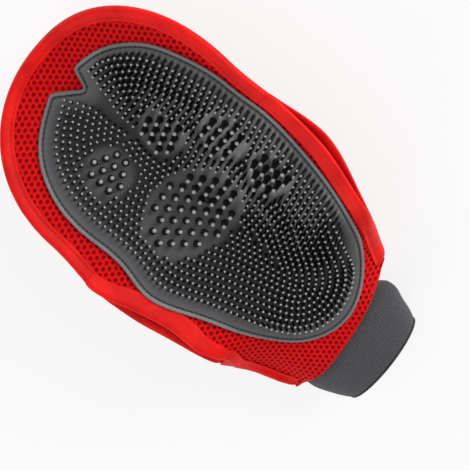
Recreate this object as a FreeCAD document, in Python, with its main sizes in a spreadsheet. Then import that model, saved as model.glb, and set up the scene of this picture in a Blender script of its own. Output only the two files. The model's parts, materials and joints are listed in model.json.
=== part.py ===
import FreeCAD, Part
import math
import os
from types import SimpleNamespace

# Pet grooming mitt, lying on its back panel with the bristle pad up.
# +X points to the thumb side of a worn right hand, +Y to the fingertips, +Z out of the pad.
# The outline stations below are measured along Y from the palm centre; the last step moves the
# whole glove so that its origin is the centre of its bounding box, at the bottom.

SIZES = (
    # outline of the mitt
    ("finger_half_width", 66.5),
    ("palm_half_width", 72.2),
    ("waist_half_width", 60.0),
    ("mouth_half_width", 45.0),
    ("finger_station", 45.0),
    ("palm_station", -15.0),
    ("waist_station", -62.0),
    ("mouth_station", -111.0),
    ("waist_slope", 0.27),
    ("mouth_slope", 0.30),
    ("tip_length", 74.0),
    ("tip_squareness", 2.2),
    ("mouth_slant", 10.0),
    ("mouth_bulge", 9.0),
    ("mouth_offset", -7.0),
    # hollow for the hand, and how the panels curve round it
    ("palm_height", 40.0),
    ("fingertip_drop", 10.0),
    ("cup_slope", 0.56),
    ("cup_radius", 22.0),
    ("mouth_share", 0.5),
    ("mouth_blend", 64.0),
    ("thumb_swell", 7.0),
    ("thumb_swell_x", 68.0),
    ("thumb_swell_y", -58.0),
    ("thumb_swell_radius", 32.0),
    # fabric layers
    ("mesh_thickness", 1.5),
    ("lining_thickness", 1.0),
    ("layer_gap", 0.2),
    ("flange_gap", 0.6),
    ("rest_flat", 0.6),
    # tape that binds the edges
    ("tape_thickness", 1.2),
    ("tape_width", 6.5),
    ("tape_gap", 0.3),
    # thumb slots, one at each side
    ("slot_station", -25.0),
    ("slot_half_length", 44.0),
    ("slot_opening", 15.0),
    ("left_lip_inset", 11.0),
    ("right_lip_inset", 3.0),
    # rubber pad
    ("pad_thickness", 1.8),
    ("pad_scale", 1.0),
    ("pad_border", 9.0),
    ("thumb_border", 5.5),
    ("bristle_pitch", 3.5),
    ("row_pitch", 3.55),
    ("bristle_height", 6.8),
    ("bristle_root_radius", 0.85),
    ("bristle_tip_radius", 0.68),
    ("small_nub_pitch", 6.2),
    ("large_nub_pitch", 6.9),
    ("nub_height", 7.4),
    ("nub_root_radius", 1.7),
    ("nub_tip_radius", 1.1),
    ("nub_margin", 2.5),
    ("nub_edge", 0.4),
    ("row_angle", 20.0),
    ("seat_gap", 0.3),
    # thread
    ("thread_radius", 0.35),
    ("stitch_length", 1.9),
    ("stitch_pitch", 2.7),
    ("stitch_inset", 2.4),
    # elastic cuff, along its own axis from the middle of the mitt's mouth
    ("cuff_yaw", 8.0),
    ("cuff_tuck", 6.0),
    ("cuff_tuck_half_width", 34.0),
    ("cuff_tuck_half_height", 13.0),
    ("cuff_mouth_half_width", 36.0),
    ("cuff_mouth_half_height", 15.0),
    ("cuff_swell_place", 12.0),
    ("cuff_swell_half_width", 36.5),
    ("cuff_swell_half_height", 17.2),
    ("cuff_length", 27.0),
    ("cuff_end_half_width", 31.0),
    ("cuff_end_half_height", 18.4),
    ("cuff_thickness", 2.0),
    ("hem_width", 2.6),
    ("hem_proud", 0.4),
    ("seam_clearance", 0.3),
    ("seam_start", 0.8),
    ("seam_depth", 4.0),
)


def write_sizes(doc):
    sheet = doc.addObject("Spreadsheet::Sheet", "Sizes")
    for row, (alias, value) in enumerate(SIZES, start=1):
        sheet.set(f"A{row}", alias)
        sheet.set(f"B{row}", str(value))
        sheet.setAlias(f"B{row}", alias)
    doc.recompute()
    return sheet


doc = FreeCAD.newDocument("grooming_glove")
sheet = write_sizes(doc)
v = SimpleNamespace(**{alias: float(sheet.get(alias)) for alias, _ in SIZES})

LAYERS = v.mesh_thickness + v.layer_gap + v.lining_thickness
WALL = LAYERS + v.flange_gap / 2
TIP = v.finger_station + v.tip_length

# How far the construction surfaces and prisms run past the glove, and how finely they are drawn.
PAST_SIDE = 16.0
PAST_TIP = 14.0
PAST_MOUTH = 22.0
PAST_OUTLINE = 4.0
FAR = 40.0
REACH_X = v.palm_half_width + PAST_SIDE
REACH_Y = (v.mouth_station - PAST_MOUTH - PAST_OUTLINE, TIP + PAST_TIP)
TALL = 160.0
GRID_COLUMNS = 17
GRID_ROWS = 23
SIDE_POINTS = 13
TIP_POINTS = 10
POLYGON_POINTS = 220
OUTLINE_POINTS = 700


# ---------------------------------------------------------------- shape of the mitt, as formulas

def smooth(t):
    t = min(1.0, max(0.0, t))
    return t * t * t * (t * (6 * t - 15) + 10)


def bump(t):
    return max(0.0, 1 - t * t) ** 2


def half_width(y):
    """Half the mitt's width: a cubic through the stations, each with its own slope."""
    stations = (
        (v.mouth_station, v.mouth_half_width, v.mouth_slope),
        (v.waist_station, v.waist_half_width, v.waist_slope),
        (v.palm_station, v.palm_half_width, 0.0),
        (v.finger_station, v.finger_half_width, 0.0),
    )
    if y >= stations[-1][0]:
        return stations[-1][1]
    if y <= stations[0][0]:
        return stations[0][1] + (y - stations[0][0]) * stations[0][2]
    for (y0, w0, s0), (y1, w1, s1) in zip(stations, stations[1:]):
        if y <= y1:
            span = y1 - y0
            t = (y - y0) / span
            return (
                w0 * (1 + 2 * t) * (1 - t) ** 2
                + w1 * t * t * (3 - 2 * t)
                + span * (s0 * t * (1 - t) ** 2 - s1 * t * t * (1 - t))
            )


def mouth_amount(y):
    """1 at the mouth, fading to 0 over the blend."""
    return 1 - smooth((y - v.mouth_station) / v.mouth_blend)


def middle(y):
    """The mitt's centre line, which leans towards the little finger at the mouth."""
    return v.mouth_offset * mouth_amount(y)


def rim_measure(x, y):
    """0 on the centre line and 1 on the mitt's outline."""
    side = abs(x - middle(y)) / half_width(y)
    end = max(0.0, (y - v.finger_station) / v.tip_length)
    return side ** v.tip_squareness + end ** v.tip_squareness


def fullness(x, y):
    return max(0.0, 1 - rim_measure(x, y) ** 2) ** 2


def slot_amount(y):
    return bump((y - v.slot_station) / v.slot_half_length)


def centre_height(y):
    past_palm = max(0.0, y - v.palm_station) / (TIP - v.palm_station)
    return v.palm_height - v.fingertip_drop * past_palm ** 2


def hand_depth(y):
    return centre_height(y) - 2 * WALL


def flange_height(x, y):
    """Height of the plane where the two panels meet at their edges."""
    share = v.mouth_share * mouth_amount(y)
    cup = v.cup_slope * (math.hypot(x, v.cup_radius) - v.cup_radius)
    across = (x - v.thumb_swell_x) / v.thumb_swell_radius
    along = (y - v.thumb_swell_y) / v.thumb_swell_radius
    swell = v.thumb_swell * math.exp(-across * across - along * along)
    cupped = (1 - mouth_amount(y)) * (cup + swell)
    return centre_height(y) - WALL - share * hand_depth(y) + cupped


def front_height(x, y):
    """Outer face of the palm mesh."""
    share = v.mouth_share * mouth_amount(y)
    return flange_height(x, y) + WALL + share * hand_depth(y) * fullness(x, y)


def back_height(x, y):
    """Outer face of the back mesh."""
    share = 1 - v.mouth_share * mouth_amount(y)
    slot = v.slot_opening * slot_amount(y) * min(1.0, rim_measure(x, y)) ** 2
    return flange_height(x, y) - WALL - share * hand_depth(y) * fullness(x, y) - slot


def surface_face(height):
    """A smooth face through a grid of points of one of the two height formulas."""
    grid = []
    for i in range(GRID_COLUMNS):
        x = -REACH_X + 2 * REACH_X * i / (GRID_COLUMNS - 1)
        line = []
        for j in range(GRID_ROWS):
            y = REACH_Y[0] + (REACH_Y[1] - REACH_Y[0]) * j / (GRID_ROWS - 1)
            line.append(FreeCAD.Vector(x, y, height(x, y)))
        grid.append(line)
    surface = Part.BSplineSurface()
    surface.interpolate(grid)
    return surface.toShape()


FRONT_FACE = surface_face(front_height)
BACK_FACE = surface_face(back_height)
UP = FreeCAD.Vector(0, 0, 1)
FRONT_ABOVE = FRONT_FACE.extrude(UP * TALL)
FRONT_BELOW = FRONT_FACE.extrude(UP * -TALL)
BACK_ABOVE = BACK_FACE.extrude(UP * TALL)
BACK_BELOW = BACK_FACE.extrude(UP * -TALL)


def raised(shape, distance):
    copy = shape.copy()
    copy.translate(UP * distance)
    return copy


def between(prism, lower, upper):
    """The prism cut back to what lies over the region `lower` and under the region `upper`."""
    return prism.cut(upper).cut(lower)


# ---------------------------------------------------------------- outlines

def mouth_point(x):
    """The mitt's open end: a shallow curve, higher on the thumb side."""
    along = (x - v.mouth_offset) / v.mouth_half_width
    return v.mouth_station + v.mouth_slant * along + v.mouth_bulge * (along * along - 1) / 2


def rim_points(outset, inset=(0.0, 0.0)):
    """Points up the thumb side from below the mouth, round the fingertips and down again."""
    side_points = []
    low = v.mouth_station - PAST_MOUTH
    for i in range(SIDE_POINTS):
        y = low + (v.finger_station - low) * i / (SIDE_POINTS - 1)
        side_points.append((half_width(y) + outset, y))
    tip_points = []
    power = 2 / v.tip_squareness
    for i in range(1, TIP_POINTS + 1):
        angle = math.pi / 2 * i / TIP_POINTS
        x = (v.finger_half_width + outset) * max(0.0, math.cos(angle)) ** power
        y = v.finger_station + (v.tip_length + outset) * math.sin(angle) ** power
        tip_points.append((x, y))
    right = []
    for x, y in side_points:
        right.append(FreeCAD.Vector(middle(y) + x - inset[1] * slot_amount(y), y, 0))
    for x, y in tip_points:
        right.append(FreeCAD.Vector(x, y, 0))
    left = []
    for x, y in side_points:
        left.append(FreeCAD.Vector(middle(y) - x + inset[0] * slot_amount(y), y, 0))
    for x, y in tip_points[:-1]:
        left.append(FreeCAD.Vector(-x, y, 0))
    return right + left[::-1]


def curve_edge(points, closed=False):
    curve = Part.BSplineCurve()
    curve.interpolate(points, PeriodicFlag=closed)
    return curve.toShape()


def tall_prism(wire):
    prism = Part.Face(wire).extrude(UP * TALL)
    prism.translate(UP * -TALL / 4)
    return prism


def outline_prism(outset, inset=(0.0, 0.0)):
    """Tall prism on the mitt's outline, moved out by `outset` and in at the thumb slots.

    It runs on past the mouth; MITT_SPACE trims each piece there.
    """
    points = rim_points(outset, inset)
    return tall_prism(Part.Wire([curve_edge(points), Part.makeLine(points[-1], points[0])]))


def mouth_line(inward=0.0):
    reach = 2 * REACH_X
    xs = [reach * i / 4 for i in range(-4, 5)]
    return curve_edge([FreeCAD.Vector(x, mouth_point(x) + inward, 0) for x in xs])


def mitt_space():
    """All of the space on the fingers' side of the mouth."""
    line = mouth_line()
    first, last = line.valueAt(line.FirstParameter), line.valueAt(line.LastParameter)
    far_last = FreeCAD.Vector(last.x, 2 * TIP, 0)
    far_first = FreeCAD.Vector(first.x, 2 * TIP, 0)
    sides = [Part.makeLine(last, far_last), Part.makeLine(far_last, far_first),
             Part.makeLine(far_first, first)]
    return tall_prism(Part.Wire([line] + sides))


MITT_SPACE = mitt_space()


def slab_along(low, high, left=True, right=True):
    """Box that keeps only the stretch of a piece from y = low to y = high, on one or both sides."""
    x0 = -2 * REACH_X if left else 0.0
    x1 = 2 * REACH_X if right else 0.0
    corner = FreeCAD.Vector(x0, low, -TALL)
    return Part.makeBox(x1 - x0, high - low, 3 * TALL, corner)


INSET = (v.left_lip_inset, v.right_lip_inset)
SLOT_TOP = v.slot_station + v.slot_half_length
SLOT_FOOT = v.slot_station - v.slot_half_length
FAR_FOOT = v.mouth_station - FAR
FAR_TIP = TIP + FAR


# ---------------------------------------------------------------- fabric panels

def palm_layer(top, thickness):
    outline = outline_prism(0.0, INSET).common(MITT_SPACE)
    return between(outline, raised(FRONT_BELOW, top - thickness), raised(FRONT_ABOVE, top))


def back_layer(bottom, thickness):
    outline = outline_prism(0.0).common(MITT_SPACE)
    return between(outline, raised(BACK_BELOW, bottom), raised(BACK_ABOVE, bottom + thickness))


def palm_mesh():
    return palm_layer(0.0, v.mesh_thickness)


def palm_lining():
    return palm_layer(-v.mesh_thickness - v.layer_gap, v.lining_thickness)


def back_mesh():
    """Pressed flat along the middle, where the glove lies on it."""
    floor = Part.makeBox(4 * REACH_X, 4 * TALL, TALL)
    floor.translate(FreeCAD.Vector(-2 * REACH_X, -2 * TALL, v.rest_flat - TALL))
    return back_layer(0.0, v.mesh_thickness).cut(floor)


def back_lining():
    return back_layer(v.mesh_thickness + v.layer_gap, v.lining_thickness)


# ---------------------------------------------------------------- bindings

def binding_ring():
    """Tape folded over both panels' edges, all round the mitt."""
    over = v.layer_gap + v.tape_thickness
    outer = outline_prism(v.tape_gap + v.tape_thickness)
    tape = outer.cut(outline_prism(-v.tape_width))
    tape = between(tape, raised(BACK_BELOW, -over), raised(FRONT_ABOVE, over))
    held = outline_prism(v.tape_gap)
    held = between(held, raised(BACK_BELOW, -v.layer_gap), raised(FRONT_ABOVE, v.layer_gap))
    return tape.cut(held).common(MITT_SPACE)


def front_lip_ring():
    """Tape over the palm panel's edge only, for the thumb slots."""
    over = v.layer_gap + v.tape_thickness
    outer = outline_prism(v.tape_gap + v.tape_thickness, INSET)
    tape = outer.cut(outline_prism(-v.tape_width, INSET))
    tape = between(tape, raised(FRONT_BELOW, -LAYERS), raised(FRONT_ABOVE, over))
    held = outline_prism(v.tape_gap, INSET)
    held = between(held, raised(FRONT_BELOW, -TALL / 2), raised(FRONT_ABOVE, v.layer_gap))
    return tape.cut(held).common(MITT_SPACE)


def back_lip_ring():
    """Tape over the back panel's edge only."""
    over = v.layer_gap + v.tape_thickness
    outer = outline_prism(v.tape_gap + v.tape_thickness)
    tape = outer.cut(outline_prism(-v.tape_width))
    tape = between(tape, raised(BACK_BELOW, -over), raised(BACK_ABOVE, LAYERS))
    held = outline_prism(v.tape_gap)
    held = between(held, raised(BACK_BELOW, -v.layer_gap), raised(BACK_ABOVE, TALL / 2))
    return tape.cut(held).common(MITT_SPACE)


def slot_stretch(left):
    gap = v.tape_gap
    return slab_along(SLOT_FOOT + gap, SLOT_TOP - gap, left=left, right=not left)


# ---------------------------------------------------------------- rubber pad

def pad_corners():
    """The pad's outline, clockwise from the notch between its two finger lobes."""
    lobe_thumb_side = ((4, 98.5), (20, 96), (35, 88), (44.5, 78.5), (51.5, 65), (58.5, 41))
    thumb_side = ((59.5, 31), (61.6, 18), (61.5, -8), (57, -41), (46, -72), (26.5, -96))
    heel = ((3, -105), (-23, -95.5))
    far_side = ((-36.5, -73), (-46.5, -41), (-55.4, -9), (-52.3, 10))
    lobe_far_side = ((-53, 36), (-51.5, 56), (-36.5, 85), (-14, 98.5))
    points = [(0, 86.5)]
    for stretch in (lobe_thumb_side, thumb_side, heel, far_side, lobe_far_side):
        points.extend(stretch)
    return [(x * v.pad_scale, y * v.pad_scale) for x, y in points]


def pad_wire():
    corners = [FreeCAD.Vector(x, y, 0) for x, y in pad_corners()]
    notch = corners[0]
    lobes = curve_edge(corners[1:])
    return Part.Wire([Part.makeLine(notch, corners[1]), lobes, Part.makeLine(corners[-1], notch)])


def pad_polygon():
    return [(p.x, p.y) for p in pad_wire().discretize(POLYGON_POINTS)]


def on_front(x, y, lift):
    return FreeCAD.Vector(x, y, front_height(x, y) + lift)


def front_normal(x, y):
    step = 0.5
    slope_x = (front_height(x + step, y) - front_height(x - step, y)) / (2 * step)
    slope_y = (front_height(x, y + step) - front_height(x, y - step)) / (2 * step)
    return FreeCAD.Vector(-slope_x, -slope_y, 1).normalize()


PAD_POLYGON = pad_polygon()
PAD_TOP = v.layer_gap + v.pad_thickness


def inside(x, y, polygon):
    crossings = False
    for (x0, y0), (x1, y1) in zip(polygon, polygon[1:] + polygon[:1]):
        if (y0 > y) != (y1 > y) and x < x0 + (x1 - x0) * (y - y0) / (y1 - y0):
            crossings = not crossings
    return crossings


def edge_distance(x, y):
    """Distance from a point to the pad's edge, negative outside it."""
    nearest = min(math.hypot(x - px, y - py) for px, py in PAD_POLYGON)
    return nearest if inside(x, y, PAD_POLYGON) else -nearest


def bristle_pad():
    return between(tall_prism(pad_wire()), raised(FRONT_BELOW, v.layer_gap), raised(FRONT_ABOVE, PAD_TOP))


# Fields of coarse nubs: centre x, y, half width, half length, turn in degrees.
# The four small fields and the large one are laid out like the pads of a paw.
NUB_FIELDS = (
    (-22, 48, 11.0, 11.5, 10),
    (13, 42, 10.5, 12.0, 0),
    (36, 19, 10.0, 12.0, -15),
    (39, -12, 10.0, 11.5, -30),
    (-7, 1, 27.0, 20.5, -12),
)


def field_measure(x, y, field):
    """Below 1 inside the rounded field."""
    cx, cy, half_x, half_y, turn = field
    angle = math.radians(turn)
    u = math.cos(angle) * (x - cx) + math.sin(angle) * (y - cy)
    w = -math.sin(angle) * (x - cx) + math.cos(angle) * (y - cy)
    return math.hypot(u / half_x, w / half_y)


def in_nub_field(x, y, margin=0.0):
    for cx, cy, half_x, half_y, turn in NUB_FIELDS:
        if field_measure(x, y, (cx, cy, half_x + margin, half_y + margin, turn)) < 1:
            return True
    return False


def border(x, y):
    """The bare margin of the pad, which is narrower where the pad climbs the thumb side."""
    thumb_side = smooth((x + 10) / 40) * smooth((y + 80) / 40)
    return v.pad_border + (v.thumb_border - v.pad_border) * thumb_side


# No bristle stands in the wedge below the notch: its apex and the ways its two sides run.
WEDGE_APEX = (5.7, 62.6)
WEDGE_THUMB_SIDE = (0.224, 0.974)
WEDGE_FAR_SIDE = (-0.516, 0.857)


def in_wedge(x, y):
    u, w = x - WEDGE_APEX[0], y - WEDGE_APEX[1]
    left_of_thumb_side = WEDGE_THUMB_SIDE[0] * w - WEDGE_THUMB_SIDE[1] * u > 0
    right_of_far_side = u * WEDGE_FAR_SIDE[1] - w * WEDGE_FAR_SIDE[0] > 0
    return left_of_thumb_side and right_of_far_side


def lobe_outline():
    """Points of the pad's outline without its notch, with the way the rows move in from each.

    Where the margin changes along the outline, that way leans from the square so that the rows
    stay the same distance apart.
    """
    corners = [FreeCAD.Vector(x, y, 0) for x, y in pad_corners()]
    edge = curve_edge(corners[1:])
    result = []
    for i in range(OUTLINE_POINTS + 1):
        at = edge.getParameterByLength(edge.Length * i / OUTLINE_POINTS)
        point, along = edge.valueAt(at), edge.tangentAt(at)
        ahead, behind = point + along * 0.5, point - along * 0.5
        lean = border(ahead.x, ahead.y) - border(behind.x, behind.y)
        square = math.sqrt(1 - lean * lean)
        in_x, in_y = along.y * square - along.x * lean, -along.x * square - along.y * lean
        result.append((point.x, point.y, in_x, in_y, border(point.x, point.y)))
    return result


LOBE_OUTLINE = lobe_outline()


def row_runs(depth):
    """The stretches of the row that lies `depth` inside the bare margin, as lists of points."""
    runs, run = [], []
    for x0, y0, in_x, in_y, margin in LOBE_OUTLINE:
        x, y = x0 + in_x * (margin + depth), y0 + in_y * (margin + depth)
        reach = min(math.hypot(x - px, y - py) - m for px, py, _, _, m in LOBE_OUTLINE)
        if reach > depth - 0.3 and not in_wedge(x, y):
            run.append((x, y))
        elif run:
            runs.append(run)
            run = []
    return runs + [run] if run else runs


def spaced(run, pitch):
    """Points at equal steps along a run, one at each end of it."""
    lengths = [0.0]
    for (x0, y0), (x1, y1) in zip(run, run[1:]):
        lengths.append(lengths[-1] + math.hypot(x1 - x0, y1 - y0))
    count = max(1, round(lengths[-1] / pitch))
    k = 0
    for i in range(count + 1):
        at = lengths[-1] * i / count
        while k < len(run) - 2 and lengths[k + 1] < at:
            k += 1
        share = (at - lengths[k]) / max(1e-9, lengths[k + 1] - lengths[k]) if len(run) > 1 else 0
        (x0, y0), (x1, y1) = run[k], run[min(k + 1, len(run) - 1)]
        yield x0 + (x1 - x0) * share, y0 + (y1 - y0) * share


def bristle_places():
    """Rows that follow the pad's outline, each further in, until they meet."""
    rows = int(v.palm_half_width / v.row_pitch)
    placed = []
    for row in range(rows):
        for run in row_runs(row * v.row_pitch):
            for x, y in spaced(run, v.bristle_pitch):
                crowd = 0.86 * v.bristle_pitch
                if all(math.hypot(x - px, y - py) > crowd for px, py in placed):
                    placed.append((x, y))
    return [(x, y) for x, y in placed if not in_nub_field(x, y, v.nub_margin)]


def lattice(pitch, angle, centre, start):
    """Staggered rows of points round a centre, `pitch` apart, the first `start` off the centre."""
    turn = math.radians(angle)
    row_gap = pitch * math.sqrt(3) / 2
    count = int(v.palm_half_width / 2 / row_gap)
    for row in range(-count, count + 1):
        for column in range(-count, count + 1):
            u = (column + (row % 2) / 2) * pitch
            w = row * row_gap + start
            yield (
                centre[0] + math.cos(turn) * u - math.sin(turn) * w,
                centre[1] + math.sin(turn) * u + math.cos(turn) * w,
            )


def nub_places():
    """A lattice in each field. The small fields are centred between three nubs."""
    placed = []
    for cx, cy, half_x, half_y, turn in NUB_FIELDS:
        large = (cx, cy, half_x, half_y, turn) == NUB_FIELDS[-1]
        pitch = v.large_nub_pitch if large else v.small_nub_pitch
        start = 0.0 if large else pitch / math.sqrt(3)
        field = (cx, cy, half_x - v.nub_edge, half_y - v.nub_edge, turn)
        for x, y in lattice(pitch, turn + v.row_angle, (cx, cy), start):
            if field_measure(x, y, field) < 1 and edge_distance(x, y) > border(x, y):
                placed.append((x, y))
    return placed


def cone_on_pad(x, y, root, tip, height):
    base = on_front(x, y, PAD_TOP + v.seat_gap)
    return Part.makeCone(root, tip, height, base, front_normal(x, y))


def fine_bristles():
    root, tip = v.bristle_root_radius, v.bristle_tip_radius
    return Part.makeCompound([cone_on_pad(x, y, root, tip, v.bristle_height) for x, y in bristle_places()])


def coarse_nubs():
    root, tip = v.nub_root_radius, v.nub_tip_radius
    return Part.makeCompound([cone_on_pad(x, y, root, tip, v.nub_height) for x, y in nub_places()])


# ---------------------------------------------------------------- thread

def stitch(a, b):
    """One stitch: a short straight length of thread lying from a to b."""
    along = b - a
    middle = (a + b) * 0.5
    start = middle - along.normalize() * (v.stitch_length / 2)
    return Part.makeCylinder(v.thread_radius, v.stitch_length, start, along)


def stitches_along(points, lift):
    """Stitches at equal steps along plan points, each lying `lift` above the palm panel."""
    pieces = []
    for (x0, y0), (x1, y1) in points:
        middle_x, middle_y = (x0 + x1) / 2, (y0 + y1) / 2
        low, high = front_height(x0, y0), front_height(x1, y1)
        bulge = max(0.0, front_height(middle_x, middle_y) - (low + high) / 2)
        clear = v.seat_gap + v.thread_radius
        up = lift + bulge + clear / front_normal(middle_x, middle_y).z
        a, b = FreeCAD.Vector(x0, y0, low + up), FreeCAD.Vector(x1, y1, high + up)
        pieces.append(stitch(a, b))
    return Part.makeCompound(pieces)


def spans(edge_or_wire):
    """Pairs of plan points one stitch pitch apart."""
    count = max(2, int(edge_or_wire.Length / v.stitch_pitch))
    line = [(p.x, p.y) for p in edge_or_wire.discretize(count + 1)]
    return list(zip(line, line[1:]))


def pad_stitching():
    """The line that sews the pad to the palm panel, just inside the pad's edge."""
    inner = pad_wire().makeOffset2D(-v.stitch_inset)
    return stitches_along(spans(inner), PAD_TOP)


def rim_stitching():
    """The line that holds the fingertip binding, seen on the palm side."""
    path = curve_edge(rim_points(v.stitch_inset - v.tape_width))
    kept = [(a, b) for a, b in spans(path) if min(a[1], b[1]) > SLOT_TOP + v.stitch_pitch]
    return stitches_along(kept, v.layer_gap + v.tape_thickness)


def mouth_stitching():
    """The line that sews the cuff in, along the palm side of the mitt's mouth."""
    reach = v.mouth_half_width - v.tape_width - v.stitch_pitch
    count = int(2 * reach / v.stitch_pitch)
    line = []
    for i in range(count + 1):
        x = v.mouth_offset - reach + 2 * reach * i / count
        line.append((x, mouth_point(x) + v.stitch_inset))
    return stitches_along(list(zip(line, line[1:])), 0.0)


# ---------------------------------------------------------------- elastic cuff

def ellipse(name, along, half_width_cell, half_height_cell, less="0"):
    """An upright ellipse on the cuff's axis, `along` it towards the arm."""
    ring = doc.addObject("Part::Ellipse", name)
    ring.Placement = FreeCAD.Placement(FreeCAD.Vector(), FreeCAD.Rotation(FreeCAD.Vector(1, 0, 0), 90))
    ring.setExpression("MajorRadius", f"Sizes.{half_width_cell} - ({less})")
    ring.setExpression("MinorRadius", f"Sizes.{half_height_cell} - ({less})")
    ring.setExpression(".Placement.Base.y", f"-({along})")
    return ring


def loft(name, rings):
    solid = doc.addObject("Part::Loft", name)
    solid.Sections = rings
    solid.Solid = True
    solid.Ruled = False
    return solid


CUFF_SECTIONS = (
    ("-Sizes.cuff_tuck", "cuff_tuck"),
    ("0", "cuff_mouth"),
    ("Sizes.cuff_swell_place", "cuff_swell"),
    ("Sizes.cuff_length", "cuff_end"),
)


def cuff_loft(name, less, past="0"):
    """Loft through the cuff's sections, each smaller by `less`, `past` longer at each end."""
    rings = []
    last = len(CUFF_SECTIONS) - 1
    for i, (along, cell) in enumerate(CUFF_SECTIONS):
        if i == 0:
            along = f"{along} - ({past})"
        if i == last:
            along = f"{along} + ({past})"
        ring = ellipse(f"{name}_ring_{i}", along, f"{cell}_half_width", f"{cell}_half_height", less)
        rings.append(ring)
    return loft(name, rings)


def cut(label, base, tool):
    piece = doc.addObject("Part::Cut", label)
    piece.Label = label
    piece.Base = base
    piece.Tool = tool
    return piece


def elastic_cuff():
    outer = cuff_loft("cuff_outside", "0")
    inner = cuff_loft("cuff_inside", "Sizes.cuff_thickness", "Sizes.hem_width")
    return cut("elastic_cuff", outer, inner)


def band(name, start, end, less):
    rings = []
    for i, along in enumerate((start, end)):
        ring = ellipse(f"{name}_ring_{i}", along, "cuff_end_half_width", "cuff_end_half_height", less)
        rings.append(ring)
    return loft(name, rings)


def cuff_hem():
    """The overlocked edge at the arm end of the cuff."""
    start = "Sizes.cuff_length + Sizes.seam_clearance"
    end = f"{start} + Sizes.hem_width"
    outer = band("hem_outside", start, end, "-Sizes.hem_proud")
    past = "Sizes.hem_width"
    inner = band("hem_inside", f"{start} - {past}", f"{end} + {past}", "Sizes.cuff_thickness")
    return cut("cuff_hem", outer, inner)


def cuff_frame():
    """From the cuff's own frame to the mitt's."""
    x = v.mouth_offset
    pivot = FreeCAD.Vector(x, mouth_point(x), v.palm_height / 2)
    return FreeCAD.Placement(pivot, FreeCAD.Rotation(UP, v.cuff_yaw))


def cuff_half_width(along):
    """The cubic through the half widths of the cuff's four sections."""
    sections = (
        (-v.cuff_tuck, v.cuff_tuck_half_width),
        (0.0, v.cuff_mouth_half_width),
        (v.cuff_swell_place, v.cuff_swell_half_width),
        (v.cuff_length, v.cuff_end_half_width),
    )
    total = 0.0
    for place, half_width in sections:
        share = 1.0
        for other, _ in sections:
            if other != place:
                share *= (along - other) / (place - other)
        total += share * half_width
    return total


def cuff_seam_stitching():
    """The line that closes the cuff into a loop, on the side of the little finger."""
    pieces = []
    clear = v.thread_radius + v.seam_clearance
    count = int((v.cuff_length - v.stitch_pitch) / v.stitch_pitch)
    for i in range(1, count):
        places = (i * v.stitch_pitch, (i + 1) * v.stitch_pitch)
        pieces.append(stitch(*[FreeCAD.Vector(-cuff_half_width(y) - clear, -y, 0) for y in places]))
    return Part.makeCompound(pieces)


def hand_way():
    """The hand's way in: a tube on the cuff's axis, as wide as the cuff's tucked end."""
    half_width = v.cuff_tuck_half_width + v.seam_clearance
    half_height = v.cuff_tuck_half_height + v.seam_clearance
    ring = Part.Wire([Part.Ellipse(FreeCAD.Vector(), half_width, half_height).toShape()])
    tube = Part.Face(ring).extrude(UP * FAR)
    tube.rotate(FreeCAD.Vector(), FreeCAD.Vector(1, 0, 0), -90)
    tube.Placement = cuff_frame().multiply(tube.Placement)
    return tube


def wrist_seam(cuff_outside):
    """Folded seam allowance between the mitt's mouth and the cuff tucked into it."""
    inside = LAYERS + v.seam_clearance
    strip = outline_prism(-v.tape_gap).common(seam_strip())
    strip = between(strip, raised(BACK_BELOW, inside), raised(FRONT_ABOVE, -inside))
    tool = cuff_outside.copy()
    grown = 1 + v.seam_clearance / v.cuff_mouth_half_height
    stretch = FreeCAD.Matrix()
    stretch.scale(grown, 1.0, grown)
    tool = tool.transformGeometry(stretch)
    tool.Placement = cuff_frame()
    return strip.cut(tool).cut(hand_way())


def seam_strip():
    """Tall strip that follows the mouth's edge, just inside it."""
    near = mouth_line(v.seam_start)
    far = mouth_line(v.seam_start + v.seam_depth)
    ends = []
    for end in ("FirstParameter", "LastParameter"):
        ends.append(Part.makeLine(near.valueAt(getattr(near, end)), far.valueAt(getattr(far, end))))
    return tall_prism(Part.Wire([near, ends[1], far, ends[0]]))


# ---------------------------------------------------------------- build and check

def sculpted(label, shape):
    piece = doc.addObject("Part::Feature", label)
    piece.Label = label
    piece.Shape = shape
    return piece


def fabric_pieces():
    return [
        sculpted("palm_mesh", palm_mesh()),
        sculpted("palm_lining", palm_lining()),
        sculpted("back_mesh", back_mesh()),
        sculpted("back_lining", back_lining()),
    ]


def binding_pieces():
    ring = binding_ring()
    pieces = [
        sculpted("rim_binding", ring.common(slab_along(SLOT_TOP, FAR_TIP))),
        sculpted("left_side_binding", ring.common(slab_along(FAR_FOOT, SLOT_FOOT, right=False))),
        sculpted("right_side_binding", ring.common(slab_along(FAR_FOOT, SLOT_FOOT, left=False))),
    ]
    for name, lip_ring in (("front", front_lip_ring()), ("back", back_lip_ring())):
        for side in ("left", "right"):
            lip = lip_ring.common(slot_stretch(side == "left"))
            pieces.append(sculpted(f"{side}_{name}_lip", lip))
    return pieces


def pad_pieces():
    return [
        sculpted("bristle_pad", bristle_pad()),
        sculpted("fine_bristles", fine_bristles()),
        sculpted("coarse_nubs", coarse_nubs()),
        sculpted("pad_stitching", pad_stitching()),
        sculpted("rim_stitching", rim_stitching()),
        sculpted("mouth_stitching", mouth_stitching()),
    ]


def cuff_pieces():
    pieces = [elastic_cuff(), cuff_hem(), sculpted("cuff_seam_stitching", cuff_seam_stitching())]
    doc.recompute()
    for piece in pieces:
        piece.Placement = cuff_frame()
    return pieces


def centre_on_origin(pieces):
    """Puts the origin at the centre of the glove's bounding box, at the bottom."""
    box = FreeCAD.BoundBox()
    for piece in pieces:
        box.add(piece.Shape.optimalBoundingBox(False, False))
    shift = FreeCAD.Vector(-box.Center.x, -box.Center.y, -box.ZMin)
    for piece in pieces:
        moved = FreeCAD.Placement(shift, FreeCAD.Rotation())
        piece.Placement = moved.multiply(piece.Placement)
    print("size", round(box.XLength, 2), round(box.YLength, 2), round(box.ZLength, 2))
    print("moved by", [round(c, 3) for c in shift])


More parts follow.
